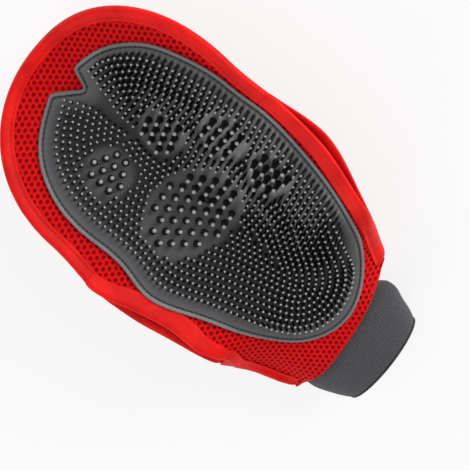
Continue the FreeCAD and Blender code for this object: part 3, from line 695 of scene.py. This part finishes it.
def one_edge(line, side, seed, wider):
    """Tape round one panel's edge, side 0 for the palm panel and 1 for the back panel."""
    sign = 1 if side == 0 else -1
    points = np.array((
        (-6.5, 0.08), (-6.48, 0.60), (-6.1, 0.92), (-5.3, 0.95), (-4.3, 0.9), (-3.3, 1.2), (-2.2, 1.42),
        (-1.2, 1.45), (-0.2, 1.25), (0.7, 0.62), (1.3, -0.3), (1.5, -1.25), (1.25, -2.1), (0.6, -2.75),
        (-0.4, -3.0), (-2.4, -2.98), (-4.6, -2.92), (-4.6, -2.76), (-2.4, -2.78), (-0.2, -2.72),
        (0.25, -2.2), (0.3, -0.9), (0.1, 0.0), (-3.0, 0.06)))
    along = np.arange(len(line)) * TAPE_STEP
    s = np.tile(points[:, 0], (len(line), 1))
    h = np.tile(points[:, 1], (len(line), 1)) * sign
    widen = wider * slot_amount(line[:, 1])[:, None]
    s = np.where(s < -2.0, s - widen * (-s - 2.0) / 4.5, s)
    bulge = np.clip((s + 6.0) / 3, 0, 1) * (np.abs(h) > 0.3)
    h = h + sign * PUFF * tape_wrinkle(along, seed)[:, None] * bulge
    b = np.full_like(s, float(side))
    ends = np.minimum(along, along[-1] - along)[:, None]
    tuck = 0.8 + 0.2 * np.clip(ends / 4.0, 0, 1)
    s = np.where(s > -2.0, -2.0 + (s + 2.0) * tuck, s)
    return s, b, h * (0.86 + 0.14 * np.clip(ends / 4.0, 0, 1))


def fuller(line, amount):
    """The line let out by up to amount between its ends, where the tape bellies out."""
    along = np.arange(len(line)) / (len(line) - 1)
    belly = np.sin(math.pi * along ** 1.6) ** 0.8
    return line + outward(line) * (amount * belly)[:, None]


def binding(name, line, seed, node_name, rounded_end=None, tucked=None):
    return taped(name, line, both_edges(line, seed, rounded_end, tucked), node_name)


def lip(name, side_of_mitt, side, inset, seed, wider, node_name):
    line = stretch(inset, SLOT_FOOT, SLOT_TOP, side_of_mitt, past=2.5)
    if side == 0 and side_of_mitt < 0:
        line = line - outward(line) * foot_tuck(line[:, 1])[:, None]
    return taped(name, line, one_edge(line, side, seed, wider), node_name)


def finished(piece, body, node_name):
    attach(piece, body)
    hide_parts(node_name)
    return piece


# ---- pad

# Coarse nub fields: centre x, y, half width, half length, turn in degrees.
NUB_FIELDS = ((-22, 48, 11.0, 11.5, 10), (13, 42, 10.5, 12.0, 0), (36, 19, 10.0, 12.0, -15),
              (39, -12, 10.0, 11.5, -30), (-7, 1, 27.0, 20.5, -12))
NUB_MARGIN, NUB_EDGE, NUB_TURN = 2.5, 0.4, 20.0
SMALL_NUB_PITCH, LARGE_NUB_PITCH = 6.2, 6.9


def field_measure(x, y, field, margin=0.0):
    cx, cy, half_x, half_y, turn = field
    angle = math.radians(turn)
    u = math.cos(angle) * (x - cx) + math.sin(angle) * (y - cy)
    w = -math.sin(angle) * (x - cx) + math.cos(angle) * (y - cy)
    return np.hypot(u / (half_x + margin), w / (half_y + margin))


PAD_CENTRE, FIELD_SINK = np.array([2.0, 0.0]), 0.25
# How far in the close rings at the edge lie, and the pad's height over the cloth by the distance in.
RING_DEPTHS = (0, 0.12, 0.3, 0.6, 0.9, 1.3, 1.7, 2.05, 2.4, 2.75, 3.1, 3.6, 4.4, 5.6, 7.0, 8.2, 9.5)
PAD_EDGE = ((0.0, 0.9), (0.25, 1.75), (0.6, 2.12), (1.0, 2.22), (1.5, 2.16), (1.9, 1.92), (2.4, 1.62),
            (2.9, 1.92), (3.4, 2.06), (4.2, 2.08), (7.0, 2.08), (8.2, PAD_TOP))


def pad_rings(line):
    """Plan points in rings from the pad's edge to near its centre."""
    ray = unit(PAD_CENTRE - line)
    normal = -outward(np.concatenate([PAD_LINE[-2:-1], PAD_LINE]))[1:-1]
    cosine = np.clip(np.abs((normal * ray).sum(1)), 0.35, 1)[:, None]
    rings = [line + ray * depth / cosine for depth in RING_DEPTHS]
    last = rings[-1]
    rings += [last + (PAD_CENTRE - last) * share for share in np.linspace(0, 1, 34)[1:-1]]
    return np.stack(rings)


def pad_shade_and_edge_tone(x, y, depth):
    """The pad's tone: 1 and lighter on the rolled edge, a half on the bare margin, less in the groove and
    among the bristles, where it is painted shade.
    """
    among = np.clip((depth - border(x, y)) / 3, 0, 1)
    for field in NUB_FIELDS:
        among = among * np.clip((field_measure(x, y, field, 1.0) - 1) * 6, 0, 1)
    shade_and_edge_tone = np.interp(depth, (0, 1.3, 1.9, 2.4, 2.9, 3.6, 6.0), (1, 1, 0.5, 0.2, 0.5, 0.72, 0.62))
    return shade_and_edge_tone * (1 - 0.85 * among)


def bristle_pad():
    line = PAD_LINE[:-1]
    plan = pad_rings(line)
    depth = pad_depth(plan.reshape(-1, 2)).reshape(plan.shape[:2])
    x, y = plan[..., 0], plan[..., 1]
    z = front(x, y) + np.interp(depth, *zip(*PAD_EDGE))
    for field in NUB_FIELDS:
        z = z - np.clip(1 + FIELD_SINK - field_measure(x, y, field, 2.0), 0, FIELD_SINK)
    z = z + 0.05 * waves(x, y, 12.0, 5) * np.clip(depth / 6, 0, 1)
    count, around = x.shape
    top = np.stack([x, y, z], -1).reshape(-1, 3)
    under_rings = [laid(line + (PAD_CENTRE - line) * share, front, PAD_UNDER)
                   for share in np.linspace(0, 1, 12)[:-1]]
    middles = [laid(PAD_CENTRE, front, lift) for lift in (PAD_TOP, PAD_UNDER)]
    vertices = np.concatenate([top, np.concatenate(under_rings), middles])
    faces = [tuple(f[::-1]) for f in quads(count, around, wrap_columns=True)]
    start = count * around
    faces += [tuple(f) for f in quads(len(under_rings), around, wrap_columns=True, offset=start)]
    apex, foot = len(vertices) - 2, len(vertices) - 1
    last_top, last_under = (count - 1) * around, start + (len(under_rings) - 1) * around
    for i in range(around):
        j = (i + 1) % around
        faces.append((last_top + i, apex, last_top + j))
        faces.append((last_under + j, foot, last_under + i))
        faces.append((i, j, start + j, start + i))
    # painted shade among the bristles and in the groove, and a lighter rolled edge, stored on the pad's top
    shade_and_edge_tones = np.zeros(len(vertices))
    shade_and_edge_tones[:depth.size] = pad_shade_and_edge_tone(x, y, depth).ravel()
    shade_and_edge_tones[apex] = 0.1
    piece = make_object("rubber_pad", vertices, faces, PAD_RUBBER, {"shade_and_edge_tone": shade_and_edge_tones})
    return finished(piece, "mitt", "bristle_pad")


# ---- bristles and nubs

def border(x, y):
    """The pad's bare margin, narrower where the pad climbs the thumb side."""
    thumb_side = smooth((x + 10) / 40) * smooth((y + 80) / 40)
    return PAD_BORDER + (THUMB_BORDER - PAD_BORDER) * thumb_side


# No bristle stands in the wedge below the notch: its apex and the ways its two sides run.
WEDGE_APEX = (5.7, 62.6)
WEDGE_THUMB_SIDE = (0.224, 0.974)
WEDGE_FAR_SIDE = (-0.516, 0.857)


def in_wedge(x, y):
    u, w = x - WEDGE_APEX[0], y - WEDGE_APEX[1]
    left_of_thumb_side = WEDGE_THUMB_SIDE[0] * w - WEDGE_THUMB_SIDE[1] * u > 0
    right_of_far_side = u * WEDGE_FAR_SIDE[1] - w * WEDGE_FAR_SIDE[0] > 0
    return left_of_thumb_side & right_of_far_side


ROW_STEP, ROW_SLACK, CLOSEST = 0.78, 0.3, 0.86


def row_runs(line, way_in, margin, depth):
    """The stretches of the row that lies `depth` inside the bare margin."""
    row = line + way_in * (margin + depth)[:, None]
    reach = (np.linalg.norm(row[:, None] - line[None], axis=2) - margin[None]).min(1)
    good = (reach > depth - ROW_SLACK) & ~in_wedge(row[:, 0], row[:, 1])
    cuts = np.flatnonzero(np.diff(good.astype(int))) + 1
    return [row[part] for part in np.split(np.arange(len(row)), cuts) if good[part[0]]]


def bristle_places():
    """Rows that follow the pad's outline, each further in, until they meet."""
    line, _ = resample(natural_spline(PAD_CORNERS[1:], 0.5), ROW_STEP)
    square = -outward(line[::-1])[::-1]
    margin = border(line[:, 0], line[:, 1])
    along = np.stack([-square[:, 1], square[:, 0]], 1)
    lean = (np.gradient(margin) / ROW_STEP)[:, None]
    way_in = square * np.sqrt(1 - lean * lean) - along * lean
    placed = np.empty((0, 2))
    for row in range(int(PALM_HALF_WIDTH / BRISTLE_ROW)):
        for run in row_runs(line, way_in, margin, row * BRISTLE_ROW):
            for place_at in resample(run, BRISTLE_PITCH)[0]:
                gaps = np.linalg.norm(placed - place_at, axis=1)
                if not (gaps < CLOSEST * BRISTLE_PITCH).any():
                    placed = np.vstack([placed, place_at])
    clear = [min(field_measure(x, y, f, NUB_MARGIN) for f in NUB_FIELDS) >= 1 for x, y in placed]
    return placed[clear]


def nub_places():
    """A staggered lattice in each field. The small ones are centred between three nubs."""
    placed = []
    for field in NUB_FIELDS:
        cx, cy, _, _, turn = field
        large = field is NUB_FIELDS[-1]
        pitch = LARGE_NUB_PITCH if large else SMALL_NUB_PITCH
        start = 0.0 if large else pitch / math.sqrt(3)
        angle = math.radians(turn + NUB_TURN)
        for i in range(-8, 9):
            for j in range(-8, 9):
                u, w = (i + (j % 2) / 2) * pitch, j * pitch * math.sqrt(3) / 2 + start
                x = cx + u * math.cos(angle) - w * math.sin(angle)
                y = cy + u * math.sin(angle) + w * math.cos(angle)
                if field_measure(x, y, field, -NUB_EDGE) < 1:
                    placed.append((x, y))
    return np.array(placed)


PIN_SINK, PIN_TILT, PIN_UNEVEN = 0.25, 0.018, 0.01


def pins(name, places, height, profile, sides, material, node_name, seed):
    """Round pins with soft ends, standing square to the pad and each a little different."""
    rng = np.random.default_rng(seed)
    x, y = places[:, 0], places[:, 1]
    base = laid(places, front, PAD_TOP - PIN_SINK)
    up = normals(front, x, y)
    up = unit(up + rng.normal(0, PIN_TILT, up.shape))
    side = unit(np.cross(up, [0.0, 1.0, 0.0]))
    other = np.cross(up, side)
    tall = (height + PIN_SINK) * (1 + rng.normal(0, PIN_UNEVEN, len(x)))
    angle = turns(sides)
    around = side[:, None] * np.cos(angle)[:, None] + other[:, None] * np.sin(angle)[:, None]
    rings = [base[:, None] + up[:, None] * (at * tall)[:, None, None] + around * radius
             for at, radius in profile]
    count, levels = len(x), len(profile)
    top = (base + up * tall[:, None])[:, None]
    points = np.concatenate([np.stack(rings, 1).reshape(count, levels * sides, 3), top], 1)
    each = levels * sides + 1
    tip = np.tile(np.concatenate([np.repeat([at for at, _ in profile], sides), [1.0]]), count)
    one = [tuple(f[::-1]) for f in quads(levels, sides, wrap_columns=True)]
    last = (levels - 1) * sides
    one += [(each - 1, last + k, last + (k + 1) % sides) for k in range(sides)]
    one.append(tuple(range(sides))[::-1])
    faces = [tuple(i + n * each for i in f) for n in range(count) for f in one]
    piece = make_object(name, points.reshape(-1, 3), faces, material, {"tip": tip})
    return finished(piece, "mitt", node_name)


# Share of the way up a pin, and its radius there.
FINE_PROFILE = ((0.0, 1.15), (0.05, 0.94), (0.12, 0.86), (0.5, 0.78), (0.86, 0.72), (0.93, 0.70),
                (0.97, 0.58), (0.99, 0.34))
COARSE_PROFILE = ((0.0, 2.15), (0.05, 1.82), (0.12, 1.70), (0.45, 1.50), (0.80, 1.28), (0.89, 1.22),
                  (0.94, 1.05), (0.975, 0.74), (0.993, 0.38))


# ---- stitches

# Share of the way along a stitch, its thickness and how far it bows up there.
STITCH_SHAPE = ((0.0, 0.25, -0.35), (0.08, 0.8, -0.1), (0.3, 1.0, 0.05), (0.7, 1.0, 0.05),
                (0.92, 0.8, -0.1), (1.0, 0.25, -0.35))


def capsules(name, pairs, material, node_name, body="mitt", radius=THREAD):
    """One short length of thread per pair of points, its ends sunk into the cloth."""
    sides = 6
    angle = turns(sides)
    vertices, faces = [], []
    for a, b, up in pairs:
        a, b, up = np.array(a), np.array(b), np.array(up)
        along = b - a
        flat = unit(np.cross(along, up))
        start = len(vertices)
        for at, wide, lift in STITCH_SHAPE:
            middle_point = a + along * at + up * lift * radius * 1.4
            for t in angle:
                vertices.append(middle_point + (flat * math.cos(t) + up * math.sin(t)) * radius * wide)
        faces += [tuple(f + start) for f in quads(len(STITCH_SHAPE), sides, wrap_columns=True)]
        faces.append(tuple(range(start, start + sides)))
        end = start + (len(STITCH_SHAPE) - 1) * sides
        faces.append(tuple(range(end, end + sides))[::-1])
    piece = make_object(name, np.array(vertices), faces, material)
    return finished(piece, body, node_name)


def stitch_pairs(line, lift):
    """Stitches at equal steps along a plan line."""
    points, _ = resample(line, STITCH_PITCH)
    pairs = []
    for p, q in zip(points[:-1], points[1:]):
        mid, half = (p + q) / 2, unit(q - p) * STITCH_LENGTH / 2
        pairs.append((laid(mid - half, front, lift), laid(mid + half, front, lift), normals(front, *mid)))
    return pairs


def pad_stitch_line():
    line = PAD_LINE
    out = outward(np.concatenate([line[-2:-1], line]))[1:]
    ring = line - out * STITCH_INSET
    return ring[nearest_on(PAD_LINE, ring) > STITCH_INSET - 0.15]


# ---- cuff

def cuff_size(t):
    """Half width and half height of the cuff at t along it: a cubic through its sections."""
    half_x = half_z = 0.0
    for knot, wide, high in CUFF_SECTIONS:
        share = 1.0
        for other, _, _ in CUFF_SECTIONS:
            if other != knot:
                share = share * (t - other) / (knot - other)
        half_x = half_x + wide * share
        half_z = half_z + high * share
    return half_x, half_z


def oval(t, angle, grow, flare=0.0):
    """Points round the cuff at t along it, in its own axes, grow outside its own size."""
    half_x, half_z = cuff_size(t)
    return np.stack([(half_x + flare + grow) * np.cos(angle), -t, (half_z + grow) * np.sin(angle)], -1)


def to_cuff(local):
    """From the cuff's own axes, along -Y, to the mitt's plan."""
    c, s = math.cos(CUFF_YAW), math.sin(CUFF_YAW)
    x, y, z = local[..., 0], local[..., 1], local[..., 2]
    return np.stack([MOUTH_OFFSET + c * x - s * y, mouth_y(MOUTH_OFFSET) + s * x + c * y,
                     PALM_HEIGHT / 2 + z], -1)


RIB_PITCH, RIB_TURN, KNOT_PITCH, MEAN_RADIUS = 1.12, math.radians(31), 1.25, 26.0
MOUTH_FLARE = (1.5, 3.2)
WINDINGS, GATHERS, GATHER_HEIGHT, FOLD_ROLL, FOLD_DEPTH = 110, 46, 0.35, 0.9, 0.8


def mouth_flare(t, angle):
    """The cuff spreads where it leaves the mitt, more on the thumb side."""
    near = smooth(1 - np.abs(t - 2.0) / 18.0) * np.clip((t + 6) / 8, 0, 1)
    side = np.cos(angle)
    return near * np.where(side > 0, MOUTH_FLARE[1], MOUTH_FLARE[0]) * side * side


def elastic_cuff():
    t = np.linspace(CUFF_START, CUFF_END, 118)
    around = 640
    angle = turns(around)
    t2, a2 = np.meshgrid(t, angle, indexing="ij")
    girth = 2 * math.pi * MEAN_RADIUS
    circ = a2 / (2 * math.pi) * girth
    # whole numbers of ribs and knots close the pattern round the cuff
    ribs = round(girth * math.sin(RIB_TURN) / RIB_PITCH) / girth * 2 * math.pi
    knots = round(girth * math.cos(RIB_TURN) / KNOT_PITCH) / girth * 2 * math.pi
    slant = circ * ribs + t2 * math.cos(RIB_TURN) / RIB_PITCH * 2 * math.pi
    cross = circ * knots - t2 * math.sin(RIB_TURN) / KNOT_PITCH * 2 * math.pi
    rib = 0.5 + 0.5 * np.sin(slant) * (0.55 + 0.45 * np.sin(cross))
    sag = 0.28 * waves(circ, t2, 40.0, 11) * np.clip((t2 - 1) / 8, 0, 1)
    relief = 0.15 * (rib - 1) + sag
    relief = relief - 0.5 * (1 - np.clip(CUFF_END - t2, 0, 1)) ** 2
    outer = oval(t2, a2, relief, mouth_flare(t2, a2))
    inner_rows = np.linspace(CUFF_END, CUFF_START, 24)
    t3, a3 = np.meshgrid(inner_rows, angle, indexing="ij")
    points = np.concatenate([outer, oval(t3, a3, -CUFF_WALL, mouth_flare(t3, a3))])
    rows = len(points)
    flat_rib = np.concatenate([rib, np.full(a3.shape, 0.45)])
    cloth = np.stack([np.concatenate([circ, np.tile(circ[0], (len(inner_rows), 1))]),
                      np.concatenate([t2, t3]), np.zeros((rows, around))], -1)
    faces = quads(rows, around, wrap_rows=True, wrap_columns=True)
    return make_object("cuff", to_cuff(points).reshape(-1, 3), faces[:, ::-1], CUFF_ELASTIC,
                       {"rib": flat_rib.ravel(), "cloth": cloth.reshape(-1, 3)})


def cuff_hem():
    """Overlocked edge: a flattened roll with its thread wound round it."""
    around, sides = 420, 12
    half_x, half_z = cuff_size(CUFF_END)
    angle = turns(around)
    loop = turns(sides)
    a2, l2 = np.meshgrid(angle, loop, indexing="ij")
    wound = 0.09 * np.sin(a2 * WINDINGS + l2)
    thick, long_half = CUFF_WALL / 2 + 0.1, HEM_WIDTH / 2
    out = (thick + wound) * np.cos(l2) - CUFF_WALL / 2
    t = CUFF_END + long_half - 0.35 + (long_half + wound) * np.sin(l2)
    points = np.stack([(half_x + out) * np.cos(a2), -t, (half_z + out) * np.sin(a2)], -1)
    faces = quads(around, sides, wrap_rows=True, wrap_columns=True)
    piece = make_object("cuff_edge", to_cuff(points).reshape(-1, 3), faces, HEM_THREAD)
    return finished(piece, "cuff", "cuff_hem")


def cuff_seam_pairs():
    pairs = []
    for i in range(1, 9):
        ends = []
        for t in (i * STITCH_PITCH, i * STITCH_PITCH + STITCH_LENGTH):
            half_x, _ = cuff_size(t)
            ends.append(to_cuff(np.array([-half_x - 0.25, -t, 0.0])))
        pairs.append((ends[0], ends[1], (-1.0, 0.0, 0.0)))
    return pairs


def wrist_seam():
    """The mitt's mouth turned in and gathered onto the cuff."""
    around = 360
    angle = turns(around)
    x = MOUTH_OFFSET + (MOUTH_HALF_WIDTH - FOLD_DEPTH) * np.cos(angle)
    y = mouth_y(x)
    level = np.minimum(1, np.abs(np.sin(angle)) ** 0.5 * 1.6)
    top, low = front(x, y) - 0.15, back(x, y) + 0.15
    middle_z = (top + low) / 2
    z = middle_z + (np.where(np.sin(angle) >= 0, top, low) - middle_z) * level
    edge = np.stack([x, y, z], -1)
    sewn = to_cuff(oval(np.full(around, CUFF_SECTIONS[0][0] + 2.0), angle, 0.1))
    ruffle = GATHER_HEIGHT * np.sin(angle * GATHERS + 2.0 * np.sin(angle * 3))
    rows = []
    for t in np.linspace(0, 1, 14):
        gathers = ruffle * math.sin(math.pi * t)
        roll = -FOLD_ROLL * math.sin(math.pi * min(1.0, t * 3.2)) * (1 - t)
        shift = np.stack([np.zeros(around), roll + 0.5 * gathers, gathers], -1)
        rows.append(edge * (1 - t) + sewn * t + shift)
    outer = np.stack(rows)
    points = np.concatenate([outer, outer[::-1] + np.array([0, FOLD_DEPTH, 0])])
    points[..., 2] = np.maximum(points[..., 2], RESTING)
    faces = quads(len(points), around, wrap_rows=True, wrap_columns=True)
    piece = make_object("mouth_fold", points.reshape(-1, 3), faces, RED_MESH,
                        {"hole": np.zeros(len(points) * around)})
    return finished(piece, "mitt", "wrist_seam")


# ---- build the glove

BELLY = 2.8
palm = mesh_panel("palm_cloth", front, 1, INSET, "palm_mesh")
back_panel = mesh_panel("back_cloth", back, -1, NO_INSET, "back_mesh")
palm_lining = lining("palm_inner", front, 1, INSET, "palm_lining")
back_lining = lining("back_inner", back, -1, NO_INSET, "back_lining")

rim_tape = binding("rim_tape", stretch(NO_INSET, low=SLOT_TOP), 20, "rim_binding")
left_line = fuller(stretch(NO_INSET, high=SLOT_FOOT, side=-1), BELLY)
left_tape = binding("left_side_tape", left_line, 22, "left_side_binding", rounded_end=-1,
                    tucked=foot_tuck(left_line[:, 1]))
right_line = stretch(NO_INSET, high=SLOT_FOOT, side=1)
right_tape = binding("right_side_tape", right_line, 24, "right_side_binding", rounded_end=0)
left_lip = lip("left_palm_lip", -1, 0, INSET, 26, 3.0, "left_front_lip")
right_lip = lip("right_palm_lip", 1, 0, INSET, 28, 0.5, "right_front_lip")
left_back_lip = lip("left_hand_lip", -1, 1, NO_INSET, 30, 0.0, "left_back_lip")
right_back_lip = lip("right_hand_lip", 1, 1, NO_INSET, 32, 0.0, "right_back_lip")

bristle_pad()
pins("fine_pins", bristle_places(), BRISTLE_HEIGHT, FINE_PROFILE, 8, BRISTLE_RUBBER,
     "fine_bristles", 41)
pins("coarse_pins", nub_places(), NUB_HEIGHT, COARSE_PROFILE, 16, BRISTLE_RUBBER,
     "coarse_nubs", 43)

# how high each seam's thread lies over the cloth, and how far in from the edge the rim's and mouth's run
PAD_LIFT, RIM_LIFT, MOUTH_LIFT, RIM_IN, MOUTH_IN = 1.66, 0.66, 0.1, 4.6, 2.4
capsules("pad_seam", stitch_pairs(pad_stitch_line(), PAD_LIFT), PAD_THREAD, "pad_stitching")
rim_line = stretch(NO_INSET, low=SLOT_TOP + 3)
rim_line = rim_line - outward(rim_line) * RIM_IN
capsules("rim_seam", stitch_pairs(rim_line, RIM_LIFT), RED_THREAD, "rim_stitching",
         radius=RED_RADIUS)
across_mouth = np.linspace(MOUTH_OFFSET - 35, MOUTH_OFFSET + 35, 60)
mouth_line = np.stack([across_mouth, mouth_y(across_mouth) + MOUTH_IN], 1)
capsules("mouth_seam", stitch_pairs(mouth_line, MOUTH_LIFT), RED_THREAD, "mouth_stitching",
         radius=RED_RADIUS)

wrist_seam()
cuff = elastic_cuff()
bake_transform(cuff)
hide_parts("elastic_cuff")
hem = cuff_hem()
capsules("cuff_seam", cuff_seam_pairs(), PAD_THREAD, "cuff_seam_stitching", "cuff",
         radius=CUFF_RADIUS)


# ---- camera

AIM = np.array([-3.1, SHIFT[1], 40.0])
TILT_X, TILT_Y, ROLL = math.radians(15), math.radians(10), math.radians(47.9)
DISTANCE, LENS, SENSOR = 600.0, 85.02, 36.0
PAN_RIGHT, PAN_DOWN = 0.0315, 0.0270


def add_camera():
    toward = unit(np.array([math.tan(TILT_X), math.tan(TILT_Y), 1.0]))
    forward = -toward
    up = unit(np.array([0, 1.0, 0]) - forward[1] * forward)
    right = np.cross(forward, up)
    image_right = math.cos(ROLL) * right - math.sin(ROLL) * up
    image_up = math.sin(ROLL) * right + math.cos(ROLL) * up
    view = unit(forward + PAN_RIGHT * image_right - PAN_DOWN * image_up)
    image_right = unit(image_right - view * image_right.dot(view))
    image_up = np.cross(image_right, view)
    data = bpy.data.cameras.new("camera")
    data.sensor_width = SENSOR
    data.lens = LENS
    camera = linked("camera", data)
    turn = Matrix([[image_right[k], image_up[k], -view[k]] for k in range(3)]).to_4x4()
    place_at = (AIM + toward * DISTANCE) * MM
    camera.matrix_world = Matrix.Translation(Vector(place_at)) @ turn
    bpy.context.scene.camera = camera
    return image_right, image_up, view


RIGHT, UP, VIEW = add_camera()


# ---- floor, light and finish

FLOOR_GLOW, FLOOR_REACH = 0.80, 3.0


def add_floor():
    mesh = bpy.data.meshes.new("floor")
    corners = [(x * FLOOR_REACH, y * FLOOR_REACH, 0) for x, y in ((-1, -1), (1, -1), (1, 1), (-1, 1))]
    mesh.from_pydata(corners, [], [(0, 1, 2, 3)])
    floor = linked("floor", mesh)
    look = Look("pale_floor", grey(0.93), 0.9, 0.1)
    look.paint(look.ramp(look.noise(400.0), (0.3, grey(0.80)), (0.7, grey(0.83))))
    # seen directly the floor is mostly its own white, which keeps a soft shadow and little red glow
    glow = look.node("Emission", Color=(1, 1, 1, 1), Strength=1.0)
    share = look.node("Math", operation="MULTIPLY")
    share.inputs[1].default_value = FLOOR_GLOW
    both = look.node("MixShader")
    for source, socket in ((look.node("LightPath").outputs["Is Camera Ray"], share.inputs[0]),
                           (share.outputs[0], both.inputs[0]), (look.shader.outputs[0], both.inputs[1]),
                           (glow.outputs[0], both.inputs[2]),
                           (both.outputs[0], look.nodes["Material Output"].inputs["Surface"])):
        look.links.new(source, socket)
    mesh.materials.append(look.material)


def add_light(name, direction, size, power, distance=1.6):
    """A square lamp in that direction from the glove, facing it."""
    data = bpy.data.lights.new(name, "AREA")
    data.shape = "SQUARE"
    data.size = size
    data.energy = power
    lamp = linked(name, data)
    direction = Vector(direction).normalized()
    lamp.location = Vector((0, 0, 0.03)) + direction * distance
    lamp.rotation_euler = direction.to_track_quat("Z", "Y").to_euler()


def add_world():
    world = bpy.data.worlds.new("studio")
    bpy.context.scene.world = world
    world.use_nodes = True
    background = world.node_tree.nodes["Background"]
    background.inputs["Color"].default_value = (1, 1, 1, 1)
    background.inputs["Strength"].default_value = 0.5


add_floor()
add_world()
toward_camera = -VIEW
add_light("key", toward_camera * 0.8 + RIGHT * 0.8 + UP * 0.6, 0.9, 16.0)
add_light("fill", toward_camera - RIGHT * 0.8 - UP * 0.1, 1.2, 5.0)
add_light("low_side", (-0.9, -0.2, 0.42), 0.8, 9.0)
add_light("low_right", RIGHT + UP * 0.5 + toward_camera * 0.28, 0.7, 7.0)
bpy.context.scene.view_settings.view_transform = "Standard"
